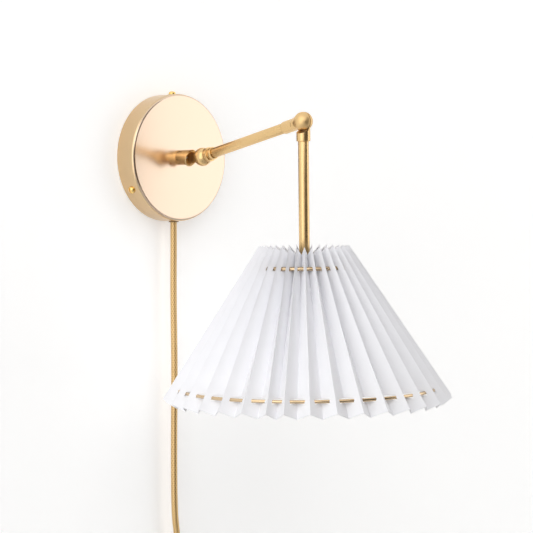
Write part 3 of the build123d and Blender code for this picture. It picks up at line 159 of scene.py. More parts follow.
hanging_cord = cord_curve("hanging_cord", [
    cord_point(0, CORD_TOP),
    cord_point(0, -CUP_RADIUS - STRAIGHT_BELOW_CUP),
    *[cord_point(x * MM, z * MM) for x, z in SWAY],
    cord_point(0, SWITCH_TOP + STRAIGHT_ABOVE_SWITCH),
    cord_point(0, SWITCH_TOP - CORD_IN_SWITCH),
])
print(hanging_cord.name, "length", round(cord_length(hanging_cord), 4))

# %% [markdown]
# ## The coil
# Below the switch, the cord slants to the outer turn of a small two-layer coil, which puts the rest of its
# length away, and ends in a plug. The coil is made of half circles that get smaller, change to the next
# layer and get larger again.

# %% Coiled cord
SWITCH_LENGTH = 60 * MM
SWITCH_BOTTOM = SWITCH_TOP - SWITCH_LENGTH
STRAIGHT_BELOW_SWITCH = 30 * MM
COIL_RADIUS = 41.1 * MM
COIL_PITCH = 6.9 * MM
COIL_ENTRY = math.radians(45)
HALF_TURNS = 12
LAST_TURN_IN = 5
POINTS_IN_HALF_TURN = 8
ENTRY_RADIUS = COIL_RADIUS + COIL_PITCH / 2
ENTRY_X = ENTRY_RADIUS * math.cos(COIL_ENTRY) - COIL_PITCH / 2
COIL_LEVEL = SWITCH_BOTTOM - STRAIGHT_BELOW_SWITCH - ENTRY_RADIUS * math.sin(COIL_ENTRY) - ENTRY_X
TAIL_RUN = 25 * MM
TAIL_LEAD = 0.2


def coil_points():
    """Control points of the coil: half circles that wind in, climb to the next layer and wind out again."""
    points = []
    swell = 1 / math.cos(math.pi / POINTS_IN_HALF_TURN / 2)
    right = cord_point(COIL_RADIUS, COIL_LEVEL)
    radius = COIL_RADIUS
    side = 1
    for half_turn in range(HALF_TURNS):
        climb = -COIL_PITCH if half_turn == LAST_TURN_IN else 0.0
        width = math.sqrt((2 * radius) ** 2 - climb**2)
        centre = right - ACROSS * side * width / 2
        for step in range(POINTS_IN_HALF_TURN):
            angle = math.pi * (step + 0.5) / POINTS_IN_HALF_TURN
            share = (1 - math.cos(angle)) / 2
            point = centre + ACROSS * side * math.cos(angle) * radius * swell
            point += DOWN * side * math.sin(angle) * radius * swell
            points.append(point + Vector((0, climb * share, 0)))
        right = right - ACROSS * side * width + Vector((0, climb, 0))
        side = -side
        radius += COIL_PITCH / 2 if half_turn >= LAST_TURN_IN else -COIL_PITCH / 2
    return points, right


coil_turns, coil_end = coil_points()
plug_point = coil_end + DOWN * TAIL_RUN
coiled_cord = cord_curve("coiled_cord", [
    cord_point(0, SWITCH_BOTTOM + CORD_IN_SWITCH),
    cord_point(0, SWITCH_BOTTOM - STRAIGHT_BELOW_SWITCH),
    cord_point(ENTRY_X, COIL_LEVEL + ENTRY_RADIUS * math.sin(COIL_ENTRY)),
    cord_point(COIL_RADIUS, COIL_LEVEL + ENTRY_RADIUS * math.tan(COIL_ENTRY / 2)),
    *coil_turns,
    coil_end + DOWN * TAIL_RUN * TAIL_LEAD,
    plug_point,
])
print(coiled_cord.name, "length", round(cord_length(coiled_cord), 4))

# %% [markdown]
# ## Helpers for finishes
# Every finish is a Principled shader fed by nodes. Short functions keep the node work readable: one starts
# a material, one feeds the inputs of a node with values or with links, and the others add the nodes that
# come often.

# %% Node helpers
def start_material(name):
    """A new material with its node tree and its Principled shader."""
    material = bpy.data.materials.new(name)
    material.use_nodes = True
    return material, material.node_tree, material.node_tree.nodes["Principled BSDF"]


def start_group(name, values, outputs, vectors=()):
    """A shader node group with named inputs, which are values or vectors, and named output values."""
    group = bpy.data.node_groups.new(name, "ShaderNodeTree")
    sockets = [(label, "INPUT", "NodeSocketVector") for label in vectors]
    sockets += [(label, "INPUT", "NodeSocketFloat") for label in values]
    sockets += [(label, "OUTPUT", "NodeSocketFloat") for label in outputs]
    for label, in_out, kind in sockets:
        group.interface.new_socket(label, in_out=in_out, socket_type=kind)
    return group, group.nodes.new("NodeGroupInput").outputs, group.nodes.new("NodeGroupOutput")


def feed(tree, node, inputs):
    """Sets inputs of a node, by name or number, to a value or to the socket that feeds them."""
    for name, value in inputs.items():
        if isinstance(value, bpy.types.NodeSocket):
            tree.links.new(value, node.inputs[name])
        else:
            node.inputs[name].default_value = value


def add_node(tree, kind, inputs=None, **settings):
    """A node of one kind with its settings and inputs."""
    node = tree.nodes.new(kind)
    for name, value in settings.items():
        setattr(node, name, value)
    feed(tree, node, inputs or {})
    return node


def compute(tree, operation, *inputs, **settings):
    """Result of a Math node."""
    node = add_node(tree, "ShaderNodeMath", dict(enumerate(inputs)), operation=operation, **settings)
    return node.outputs[0]


def mixed(tree, first, second, factor, **settings):
    """Result of a Mix node for colours."""
    inputs = {"A": first, "B": second, "Factor": factor}
    return add_node(tree, "ShaderNodeMix", inputs, data_type="RGBA", **settings).outputs["Result"]


def relief(tree, height, strength, distance):
    """Normal of a Bump node."""
    inputs = {"Height": height, "Strength": strength, "Distance": distance}
    return add_node(tree, "ShaderNodeBump", inputs).outputs["Normal"]


def object_place(tree):
    """Object coordinates, which stay with the piece."""
    return add_node(tree, "ShaderNodeTexCoord").outputs["Object"]


# %% [markdown]
# ## Grain that the metals and plastics share
# Real brass is never even: fine marks from brushing or drawing break up its gloss, and slow clouds of
# handling change it from place to place. A painted texture could hold both, but noise needs no picture and
# has no seams. This group mixes fine marks and slow clouds, and every metal and plastic uses it with its
# own values.

# %% Grain group
def noise(tree, place, scale, detail, roughness):
    """Value of a noise texture at a place."""
    inputs = {"Vector": place, "Scale": scale, "Detail": detail, "Roughness": roughness}
    return add_node(tree, "ShaderNodeTexNoise", inputs).outputs["Fac"]


grain, given, grain_out = start_group(
    "surface_grain",
    values=["Fine Scale", "Cloud Scale", "Roughness", "Roughness Spread"],
    outputs=["Roughness", "Cloud", "Height"],
    vectors=["Fine Place", "Cloud Place"],
)
fine = noise(grain, given["Fine Place"], given["Fine Scale"], detail=3.0, roughness=0.6)
cloud = noise(grain, given["Cloud Place"], given["Cloud Scale"], detail=2.0, roughness=0.5)
centred = compute(grain, "SUBTRACT", compute(grain, "ADD", fine, cloud), 1.0)
spread = compute(grain, "MULTIPLY_ADD", centred, given["Roughness Spread"], given["Roughness"])
feed(grain, grain_out, {"Roughness": spread, "Cloud": cloud, "Height": fine})
print("group", grain.name, "with", len(grain.nodes), "nodes")

# %% [markdown]
# ## Brass, steel, plastic and paper
# One function makes every grained finish. It takes two close colours that the clouds mix, a roughness and a
# bump. The stretch of the fine marks tells how a piece was made: even for a casting, drawn out along a
# tube.

# %% Grained finishes
GRAIN_DEPTH = 0.1 * MM
METAL = 1.0
NOT_METAL = 0.0


def grain_marks(tree, fine_place, fine_scale, cloud_scale, roughness, spread):
    """The grain group with its values in one finish."""
    inputs = {
        "Fine Place": fine_place, "Cloud Place": object_place(tree), "Fine Scale": fine_scale,
        "Cloud Scale": cloud_scale, "Roughness": roughness, "Roughness Spread": spread,
    }
    return add_node(tree, "ShaderNodeGroup", inputs, node_tree=grain).outputs


def cloud_tint(tree, marks, colours):
    """Two close colours, mixed by the clouds."""
    first, second = [(*colour, 1.0) for colour in colours]
    return mixed(tree, first, second, marks["Cloud"])


def finish_grained(tree, shader, marks, tint, metal, bump):
    """Joins the grain to the shader: gloss and bump come from the marks."""
    normal = relief(tree, marks["Height"], bump, GRAIN_DEPTH)
    feed(tree, shader, {
        "Base Color": tint, "Roughness": marks["Roughness"], "Metallic": metal, "Normal": normal,
    })


def grained(
    name, colours, metal, roughness, fine_scale, bump, stretch=(1, 1, 1), cloud_scale=30.0, spread=0.1
):
    """A finish with fine marks and slow clouds on Object coordinates."""
    material, tree, shader = start_material(name)
    stretched = add_node(tree, "ShaderNodeMapping", {"Vector": object_place(tree), "Scale": stretch})
    marks = grain_marks(tree, stretched.outputs["Vector"], fine_scale, cloud_scale, roughness, spread)
    finish_grained(tree, shader, marks, cloud_tint(tree, marks, colours), metal, bump)
    return material


GOLD = ((0.75, 0.515, 0.24), (0.80, 0.555, 0.27))
# Two colours, metal or not, roughness, scale of the fine marks and bump; the tube also has their stretch.
GRAINED = {
    "tube_brass": (GOLD, METAL, 0.27, 1500.0, 0.03, (1, 0.06, 0.06)),
    "cast_brass": (GOLD, METAL, 0.25, 1100.0, 0.12),
    "screw_brass": (((0.88, 0.60, 0.20), (0.95, 0.68, 0.26)), METAL, 0.12, 1200.0, 0.05),
    "wire_brass": (((0.62, 0.46, 0.28), (0.70, 0.53, 0.34)), METAL, 0.15, 900.0, 0.05),
    # Darker brass for the bore and the well: painted shade, with a real dull roughness.
    "bore_painted_shade": (((0.62, 0.38, 0.15), (0.80, 0.50, 0.20)), METAL, 0.50, 900.0, 0.2),
    "plain_brass": (((0.76, 0.54, 0.24), (0.84, 0.62, 0.30)), METAL, 0.30, 800.0, 0.1),
    "zinc_steel": (((0.55, 0.56, 0.57), (0.68, 0.68, 0.66)), METAL, 0.38, 500.0, 0.15),
    "lead_plastic": (((0.60, 0.57, 0.52), (0.68, 0.65, 0.60)), NOT_METAL, 0.5, 600.0, 0.1),
    "white_plastic": (((0.78, 0.77, 0.74), (0.84, 0.83, 0.80)), NOT_METAL, 0.42, 1400.0, 0.1),
    "ivory_plastic": (((0.74, 0.70, 0.60), (0.80, 0.76, 0.66)), NOT_METAL, 0.34, 1500.0, 0.1),
    "ceramic": (((0.80, 0.79, 0.75), (0.86, 0.85, 0.82)), NOT_METAL, 0.16, 300.0, 0.05),
    "bush_rubber": (((0.26, 0.16, 0.07), (0.34, 0.22, 0.10)), NOT_METAL, 0.55, 900.0, 0.2),
    "dark_rubber": (((0.020, 0.017, 0.014), (0.038, 0.032, 0.026)), NOT_METAL, 0.65, 900.0, 0.25),
    "washer_fibre": (((0.020, 0.014, 0.010), (0.045, 0.032, 0.024)), NOT_METAL, 0.8, 700.0, 0.3),
}
finishes = {name: grained(name, *values) for name, values in GRAINED.items()}
print("grained finishes", len(finishes))

# %% [markdown]
# ## The cup's brushed brass
# The cup was spun on a lathe and brushed while it turned, so its marks are circles: rings on the flat face
# and lines round the side wall. Straight stretched noise would give parallel scratches. Here the marks are
# laid out by the distance from the cup's axis and by the depth, with the angle hardly counting, so they run
# round. The side wall is painted darker and more saturated than the face, as painted shade.

# %% Cup brass
CUP_COLOURS = ((0.79, 0.612, 0.468), (0.84, 0.652, 0.504))
CUP_ROUGHNESS = 0.22
CUP_SPREAD = 0.06
CUP_BUMP = 0.05
CUP_MARKS = 900.0
CUP_CLOUDS = 22.0
ANGLE_SHARE = 0.004
# The side wall's darker, more saturated tone is painted shade.
SIDE_PAINTED_SHADE = (0.85, 0.80, 0.61, 1.0)
SIDE_BETWEEN = (CUP_RADIUS - 1.4 * MM, CUP_RADIUS - 0.4 * MM)


def turned_brass(name):
    """Brushed brass whose fine marks run round the axis of the cup, with painted shade on the side wall."""
    material, tree, shader = start_material(name)
    parts = add_node(tree, "ShaderNodeSeparateXYZ", {0: object_place(tree)}).outputs
    flat = add_node(tree, "ShaderNodeCombineXYZ", {"X": parts["X"], "Y": parts["Z"]}).outputs[0]
    distance = add_node(tree, "ShaderNodeVectorMath", {0: flat}, operation="LENGTH").outputs["Value"]
    angle = compute(tree, "ARCTAN2", parts["Z"], parts["X"])
    slow_angle = compute(tree, "MULTIPLY", angle, ANGLE_SHARE)
    rings = add_node(tree, "ShaderNodeCombineXYZ", {0: distance, 1: parts["Y"], 2: slow_angle}).outputs[0]
    marks = grain_marks(tree, rings, CUP_MARKS, CUP_CLOUDS, CUP_ROUGHNESS, CUP_SPREAD)
    ends = {0: distance, 1: SIDE_BETWEEN[0], 2: SIDE_BETWEEN[1]}
    side_shade_mask = add_node(tree, "ShaderNodeMapRange", ends).outputs["Result"]
    tint = mixed(tree, cloud_tint(tree, marks, CUP_COLOURS), SIDE_PAINTED_SHADE, side_shade_mask, blend_type="MULTIPLY")
    finish_grained(tree, shader, marks, tint, METAL, CUP_BUMP)
    return material


cup_brass = turned_brass("cup_brass")
print("finish", cup_brass.name)

# %% [markdown]
# ## A satin ball
# The ball of the elbow is handled most, so it is duller than the turned collars beside it. One finish does
# for both: a mask from the distance to the middle of the ball adds roughness on the ball alone.

# %% Satin on the elbow
SATIN_EXTRA = 0.17
SATIN_REACH = BALL_RADIUS + 0.2 * MM

tree = finishes["cast_brass"].node_tree
ends = {0: object_place(tree), 1: ELBOW}
away = add_node(tree, "ShaderNodeVectorMath", ends, operation="DISTANCE").outputs["Value"]
inside = compute(tree, "LESS_THAN", away, SATIN_REACH)
marks = next(node for node in tree.nodes if node.type == "GROUP")
rougher = compute(tree, "MULTIPLY_ADD", inside, SATIN_EXTRA, marks.outputs["Roughness"])
feed(tree, tree.nodes["Principled BSDF"], {"Roughness": rougher})
print("satin within", SATIN_REACH, "of the elbow")

# %% [markdown]
# ## The shade's paper
# The shade is stiff white paper with a very fine fibre, almost without gloss. The fibres are noise, a
# little stretched. Most of the look comes from real folds, so the finish only has to be quiet and cool.

# %% Shade paper
PAPER_COLOURS = ((0.86, 0.86, 0.885), (0.90, 0.90, 0.925))
PAPER_GLOSS = 0.25

shade_paper = grained(
    "shade_paper", PAPER_COLOURS, NOT_METAL, roughness=0.72, fine_scale=1100.0, bump=0.10,
    stretch=(1, 1, 0.5), cloud_scale=60.0, spread=0.06,
)
shade_paper.node_tree.nodes["Principled BSDF"].inputs["Specular IOR Level"].default_value = PAPER_GLOSS
print("finish", shade_paper.name)

# %% [markdown]
# ## The cord's braid
# The flex wears a braided sleeve: two sets of yarns wind round it in opposite directions and pass over and
# under each other. The curve carries its own UV map, along and around, so the braid is two slanted waves on
# that map. The higher wave wins at each point, which gives the over and under, and the low gaps between
# the yarns get a darker colour, which is painted shade.

# %% Braid group
braid, given, braid_out = start_group("braid", values=["Turns", "Yarns"], outputs=["Height", "Yarn"])
uv_place = add_node(braid, "ShaderNodeUVMap").outputs["UV"]
parts = add_node(braid, "ShaderNodeSeparateXYZ", {0: uv_place}).outputs
along = compute(braid, "MULTIPLY", parts["X"], given["Turns"])
around = compute(braid, "MULTIPLY", parts["Y"], given["Yarns"])
waves = []
for direction in ("ADD", "SUBTRACT"):
    turns = compute(braid, direction, along, around)
    waves.append(compute(braid, "SINE", compute(braid, "MULTIPLY", turns, 2 * math.pi)))
height = compute(braid, "MULTIPLY_ADD", compute(braid, "MAXIMUM", *waves), 0.5, 0.5)
feed(braid, braid_out, {"Height": height, "Yarn": compute(braid, "GREATER_THAN", *waves)})
print("group", braid.name, "with", len(braid.nodes), "nodes")

# %% [markdown]
# The yarn is a shiny gold thread, so it is partly metal, with a little sheen. Each cord gets its own copy
# of the finish, because the number of turns depends on its length.

# %% Cord finishes
BRAID_PITCH = 3.6 * MM
BRAID_YARNS = 8.0
BRAID_DEPTH = 0.2 * MM
BRAID_BUMP = 0.3
YARN_GAP_SHADE = (0.44, 0.26, 0.095, 1.0)
YARN_LIGHT = (0.78, 0.54, 0.25, 1.0)
YARN_METAL = 0.7
YARN_ROUGHNESS = 0.32
YARN_ROUGHNESS_STEP = 0.08
YARN_SHEEN = {"Sheen Weight": 0.1, "Sheen Roughness": 0.4, "Sheen Tint": (1.0, 0.85, 0.55, 1.0)}


def braided(name, length):
    """Gold textile braid for a cord of one length."""
    material, tree, shader = start_material(name)
    turns = {"Turns": length / BRAID_PITCH, "Yarns": BRAID_YARNS}
    weave = add_node(tree, "ShaderNodeGroup", turns, node_tree=braid).outputs
    feed(tree, shader, {
        # The darker colour in the gaps between the yarns is painted shade.
        "Base Color": mixed(tree, YARN_GAP_SHADE, YARN_LIGHT, weave["Height"]),
        "Roughness": compute(tree, "MULTIPLY_ADD", weave["Yarn"], YARN_ROUGHNESS_STEP, YARN_ROUGHNESS),
        "Metallic": YARN_METAL,
        "Normal": relief(tree, weave["Height"], BRAID_BUMP, BRAID_DEPTH),
        **YARN_SHEEN,
    })
    return material


for cord in (hanging_cord, coiled_cord):
    cord.data.materials.append(braided(cord.name + "_braid", cord_length(cord)))
print("cords dressed")

# %% [markdown]
# ## A finish for every slot
# The record gives every piece a slot. Here each slot gets its finish, and the solids get theirs at once:
# the inner pieces, the switch and the plug keep their solids, because their shapes are right.

# %% Finishes by slot
FINISH_OF_SLOT = {
    **finishes,
    "satin_brass": cup_brass,
    "polished_brass": finishes["cast_brass"],
    "ring_brass": finishes["wire_brass"],
    "shade_paper": shade_paper,
    "gold_textile": hanging_cord.data.materials[0],
}
for part in frame["record"]["subparts"]:
    solid = nodes[part["node"]]
    solid.data.materials.clear()
    solid.data.materials.append(FINISH_OF_SLOT[part["material_slot"]])

# %% [markdown]
# ## Modelling helpers
# A few short functions do what every piece needs: select it alone, enter and leave its mesh, and name it.

# %% Piece helpers
def start_clean(*chosen):
    """Leaves edit mode and selects only the chosen pieces, the last one active."""
    if bpy.context.object and bpy.context.object.mode != "OBJECT":
        bpy.ops.object.mode_set(mode="OBJECT")
    bpy.ops.object.select_all(action="DESELECT")
    for piece in chosen:
        piece.select_set(True)
        bpy.context.view_layer.objects.active = piece


def open_mesh(action="SELECT"):
    """Enters edit mode with everything selected, or nothing."""
    bpy.ops.object.mode_set(mode="EDIT")
    bpy.ops.mesh.select_all(action=action)


def open_chosen(kind):
    """Enters edit mode with the faces or vertices that were chosen in object mode."""
    bpy.ops.object.mode_set(mode="EDIT")
    bpy.ops.mesh.select_mode(type=kind)


def close_mesh():
    """Goes back to object mode."""
    bpy.ops.object.mode_set(mode="OBJECT")


def named(name):
    """Names the piece that was just added, and its mesh."""
    piece = bpy.context.object
    piece.name = name
    piece.data.name = name
    return piece


# %% [markdown]
# Rounded rims come from a Bevel modifier, holes and unions from Boolean modifiers, and all of them are
# applied. A Boolean can leave hairline cracks, so its result is welded and closed. A flat cut is a bisect.

# %% Modifiers and cuts
WELD = MM / 1000


def with_modifier(piece, kind, **settings):
    """Adds one modifier and applies it."""
    start_clean(piece)
    modifier = piece.modifiers.new(kind.lower(), kind)
    for name, value in settings.items():
        setattr(modifier, name, value)
    bpy.ops.object.modifier_apply(modifier=modifier.name)


def rounded(piece, width, segments=3, angle=35):
    """Bevels every edge that is sharper than an angle."""
    limit = math.radians(angle)
    with_modifier(piece, "BEVEL", width=width, segments=segments, limit_method="ANGLE", angle_limit=limit)


def combined(piece, other, operation):
    """Adds or takes away another piece, which is used up, and closes the cracks along the cut."""
    with_modifier(piece, "BOOLEAN", object=other, operation=operation, solver="EXACT")
    bpy.data.objects.remove(other)
    open_mesh()
    bpy.ops.mesh.remove_doubles(threshold=2 * WELD)
    bpy.ops.mesh.dissolve_degenerate(threshold=WELD)
    bpy.ops.mesh.fill_holes(sides=0)
    close_mesh()


def sliced(place, normal, keep_outer=False):
    """Cuts the active piece at a plane, fills the cut and keeps one side."""
    open_mesh()
    bpy.ops.mesh.bisect(
        plane_co=place, plane_no=normal, use_fill=True, clear_inner=keep_outer, clear_outer=not keep_outer
    )
    close_mesh()


def cutter_box(place, size):
    """A plain box to cut with."""
    start_clean()
    bpy.ops.mesh.primitive_cube_add(size=1, location=place, scale=size)
    return bpy.context.object


# %% [markdown]
# Nearly every metal piece of this lamp was made on a lathe. So the main helper works like one: it draws
# half an outline from a single vertex by extruding it, and spins that outline round an axis. The last
# helper settles a finished piece: it smooths it, gives it its slot's finish or another, ties it to its
# body and hides the solids it stands for.

# %% Lathe
SMOOTH_ANGLE = math.radians(32)


def turned(name, profile, base, along, rim=0.0, steps=96):
    """Spins an outline of (distance, radius) points round an axis that starts at base."""
    axis = along.normalized()
    outwards = axis.orthogonal().normalized()
    places = [base + axis * distance + outwards * radius for distance, radius in profile]
    start_clean()
    bpy.ops.mesh.primitive_plane_add(size=MM)
    piece = named(name)
    open_mesh()
    bpy.ops.mesh.select_mode(type="VERT")
    bpy.ops.mesh.merge(type="CENTER")
    bpy.ops.transform.translate(value=places[0])
    for here, there in zip(places, places[1:]):
        bpy.ops.mesh.extrude_vertices_move(TRANSFORM_OT_translate={"value": there - here})
    bpy.ops.mesh.select_all(action="SELECT")
    bpy.ops.mesh.spin(steps=steps, angle=2 * math.pi, center=base, axis=axis)
    bpy.ops.mesh.select_all(action="SELECT")
    bpy.ops.mesh.remove_doubles(threshold=WELD)
    bpy.ops.mesh.normals_make_consistent(inside=False)
    close_mesh()
    if rim:
        rounded(piece, rim)
    return piece


def rod_outline(start, end, radius):
    """Outline of a solid rod between two distances."""
    return [(start, 0), (start, radius), (end, radius), (end, 0)]


def tube_outline(start, end, bore, radius):
    """Closed outline of a tube between two distances."""
    return [(start, bore), (start, radius), (end, radius), (end, bore), (start, bore)]


def settled(piece, body, slot, *stands_for, finish=None):
    """Smooth shading, the slot's finish or another, the body, and hiding the solids that the piece stands
    for.
    """
    start_clean(piece)
    bpy.ops.object.shade_smooth_by_angle(angle=SMOOTH_ANGLE)
    piece.data.materials.clear()
    piece.data.materials.append(finishes[finish] if finish else FINISH_OF_SLOT[slot])
    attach(piece, body)
    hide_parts(*stands_for)
    print(piece.name, len(piece.data.polygons), "faces")
    return piece


# %% [markdown]
# ## The wall cup
# The cup is a spun brass shell, open at the wall, with a small round edge in front. Its outline is spun,
# the front edge is bevelled, and Solidify gives the sheet its thickness inwards, because the outside is the
# size.

# %% Wall cup
CUP_WALL = 1.2 * MM
CUP_EDGE = 3.0 * MM

cup_outline = [(0, CUP_RADIUS), (CUP_DEPTH, CUP_RADIUS), (CUP_DEPTH, 0)]
cup = turned("cup_shell", cup_outline, Vector(), TOWARDS_ROOM, steps=192)
rounded(cup, CUP_EDGE, segments=8)
with_modifier(cup, "SOLIDIFY", thickness=CUP_WALL, offset=-1)
settled(cup, "wall_base", "satin_brass", "wall_cup")

# %% [markdown]
# ## The cup's screws
# Three round-head screws hold the cup to the ears of its bracket. The head is a low dome, and a Boolean box
# cuts the slot. The top screw is made first, then copied and turned round the cup's axis, each copy with
# its own mesh.

# %% Cup screws
HEAD_RADIUS = 3.5 * MM
HEAD_HEIGHT = 3.0 * MM
HEAD_SIDE = 0.25
DOME_STEPS = 10
SLOT_WIDTH = 0.9 * MM
SLOT_DEPTH = 1.3 * MM
SHANK_RADIUS = 2.0 * MM
SHANK_LENGTH = 8.0 * MM
FINE_BEVEL = 0.12 * MM


def dome(radius, height, start):
    """Outline of a low dome that rises from a distance along the axis."""
    angles = [math.pi / 2 * step / DOME_STEPS for step in range(DOME_STEPS + 1)]
    return [(start + height * math.sin(a), radius * math.cos(a)) for a in angles]


head_outline = [(-SHANK_LENGTH, 0), (-SHANK_LENGTH, SHANK_RADIUS), (0, SHANK_RADIUS), (0, HEAD_RADIUS)]
head_outline += dome(HEAD_RADIUS, HEAD_HEIGHT * (1 - HEAD_SIDE), HEAD_HEIGHT * HEAD_SIDE)
screw_seat = UPWARDS * CUP_RADIUS + TOWARDS_ROOM * CUP_DEPTH / 2
screw = turned("cup_screw_top", head_outline, screw_seat, UPWARDS, steps=48)
slot_size = (HEAD_RADIUS * 3, SLOT_WIDTH, SLOT_DEPTH * 2)
combined(screw, cutter_box(screw_seat + UPWARDS * HEAD_HEIGHT, slot_size), "DIFFERENCE")
rounded(screw, FINE_BEVEL, segments=2, angle=40)
for name, angle in (("cup_screw_left", 120), ("cup_screw_right", 240)):
    start_clean(screw)
    bpy.ops.object.duplicate(linked=False)
    twin = named(name)
    open_mesh()
    bpy.ops.transform.rotate(value=math.radians(angle), orient_axis="Y", center_override=(0, 0, 0))
    close_mesh()
    settled(twin, "wall_base", "polished_brass", "cup_screws", finish="screw_brass")
settled(screw, "wall_base", "polished_brass", "cup_screws", finish="screw_brass")

# %% [markdown]
# ## Half balls and necks
# Each knuckle is a ball cut in two along the arm. One half belongs to each side, and a shoulder screw
# through the middle lets them turn. The ball with its neck is spun whole and bisected at the flat, with the
# cut filled. The sharp edge of the cut is then bevelled, because that bright line is the seam that shows on
# the elbow.

# %% Half ball helper
LEFT_FLAT = -0.4 * MM
RIGHT_FLAT = 0.45 * MM
SEAM_BEVEL = 0.25 * MM
PIVOT_SEAT = 5.0 * MM
PIVOT_RECESS = 4.75 * MM
BALL_STEPS = 40


def half_ball(name, middle, along, side, neck_radius, neck):
    """A half ball and half a neck on one side of the flat; side is the sign of X.

    The neck leaves the ball at a radius and follows an outline of (distance, radius) points."""
    last = math.pi - math.asin(neck_radius / BALL_RADIUS)
    angles = [last * step / BALL_STEPS for step in range(BALL_STEPS + 1)]
    outline = [(-BALL_RADIUS * math.cos(a), BALL_RADIUS * math.sin(a)) for a in angles]
    outline += [*neck, (neck[-1][0], 0)]
    piece = turned(name, outline, middle, along, steps=72)
    sliced(ACROSS * (RIGHT_FLAT if side > 0 else LEFT_FLAT), ACROSS, keep_outer=side > 0)
    rounded(piece, SEAM_BEVEL, segments=2, angle=50)
    if side > 0:
        recess_outline = rod_outline(PIVOT_SEAT, BALL_RADIUS * 2, PIVOT_RECESS)
        combined(piece, turned("recess", recess_outline, middle, ACROSS, steps=48), "DIFFERENCE")
    return piece


# %% [markdown]
# ## The stub on the cup
# A short round stub stands on the cup. Its outer end is a slanted ring, an open threaded socket, painted
# dark inside as shade. Barrel and ring are spun, the barrel is bisected at the slant and they are joined,
# and a spun cutter with a wavy outline takes out the thread.

# %% Stub barrel and socket
STUB_RADIUS = 7.0 * MM
STUB_LENGTH = 14.0 * MM
STUB_BLANK = STUB_LENGTH * 1.5
STUB_TILT = math.radians(20)
STUB_RIM = 0.3 * MM
SOCKET_RADIUS = 7.6 * MM
SOCKET_BORE = 6.7 * MM
SOCKET_DROP = 1.5 * MM
SOCKET_DEPTH = 8.0 * MM
SOCKET_PITCH = 1.5 * MM
SOCKET_THREAD = 0.6 * MM
RING_WIDTH = 1.3 * MM
RING_RIM = 0.25 * MM
POINTS_PER_THREAD = 6
CUP_FACE = TOWARDS_ROOM * CUP_DEPTH


def thread_outline(start, end, radius, pitch, depth):
    """Wavy outline of a thread that lies inside a radius."""
    count = int(abs(end - start) / pitch * POINTS_PER_THREAD)
    outline = []
    for step in range(count + 1):
        wave = (1 - math.cos(2 * math.pi * step / POINTS_PER_THREAD)) / 2
        outline.append((start + (end - start) * step / count, radius - depth * wave))
    return outline


slant = Vector((0, -math.cos(STUB_TILT), -math.sin(STUB_TILT)))
socket_place = CUP_FACE + TOWARDS_ROOM * STUB_LENGTH + DOWN * SOCKET_DROP
barrel_outline = rod_outline(0, STUB_BLANK, STUB_RADIUS)
stub = turned("stub_barrel", barrel_outline, CUP_FACE, TOWARDS_ROOM, STUB_RIM)
sliced(socket_place - slant * RING_WIDTH / 2, slant)
ring_outline = rod_outline(-RING_WIDTH, 0, SOCKET_RADIUS)
socket_ring = turned("socket_ring", ring_outline, socket_place, slant, RING_RIM)
combined(stub, socket_ring, "UNION")
bore_outline = [(-SOCKET_DEPTH, 0), (-SOCKET_DEPTH, SOCKET_BORE)]
bore_outline += thread_outline(-SOCKET_DEPTH, 0, SOCKET_BORE, SOCKET_PITCH, SOCKET_THREAD)[1:]
bore_outline += [(MM, SOCKET_BORE), (MM, 0)]
combined(stub, turned("socket_bore", bore_outline, socket_place, slant), "DIFFERENCE")
print("stub", len(stub.data.polygons), "faces before its tongue")

# %% [markdown]
# A tongue on the far side of the stub carries half of the wall knuckle. It is cut back with a box, so that
# it doesn't fill the socket. The faces of the bore are then picked by their place and get a dull finish,
# whose darker colour is painted shade.

# %% Stub tongue and bore
STUB_TO_BALL = 16.0 * MM
TONGUE_RADIUS = 6.2 * MM
TONGUE_CUT = 3.4 * MM
TONGUE_END = STUB_TO_BALL + STUB_LENGTH * 0.5
BORE_MARGIN = 0.05 * MM
BORE_BETWEEN = (-SOCKET_DEPTH * 1.2, 3 * MM)


def paint_shade_inside(piece, base, axis, radius, start, end):
    """Gives painted shade, a darker dull brass, to faces within a radius of an axis, between two distances
    along it.
    """
    piece.data.materials.append(finishes["bore_painted_shade"])
    count = 0
    for face in piece.data.polygons:
        offset = face.center - base
        distance = offset.dot(axis)
        outwards = offset - axis * distance
        if start < distance < end and outwards.length < radius and outwards.dot(face.normal) <= 0:
            face.material_index = 1
            count += 1
    print("bore faces", count)


tongue_neck = [(TONGUE_END, TONGUE_RADIUS)]
tongue = half_ball("tongue", WALL_BALL, -TOWARDS_ROOM, 1, TONGUE_RADIUS, tongue_neck)
cut_size = (2 * TONGUE_CUT, STUB_TO_BALL, 3 * STUB_RADIUS)
combined(tongue, cutter_box(CUP_FACE + TOWARDS_ROOM * STUB_LENGTH, cut_size), "DIFFERENCE")
combined(stub, tongue, "UNION")
settled(stub, "wall_base", "polished_brass", "stub")
# The bore of the socket is painted dark as shade.
paint_shade_inside(stub, socket_place, slant, SOCKET_BORE + BORE_MARGIN, *BORE_BETWEEN)

# %% [markdown]
# ## The knuckles of the arm
# The other halves end in round collars, which hold the tubes. At the wall, a turned ring and a groove come
# before the collar. At the elbow, the half ball flares into it. Each collar is spun, rounded and joined to
# its half ball with a Boolean union, so that each knuckle half is one closed mesh.

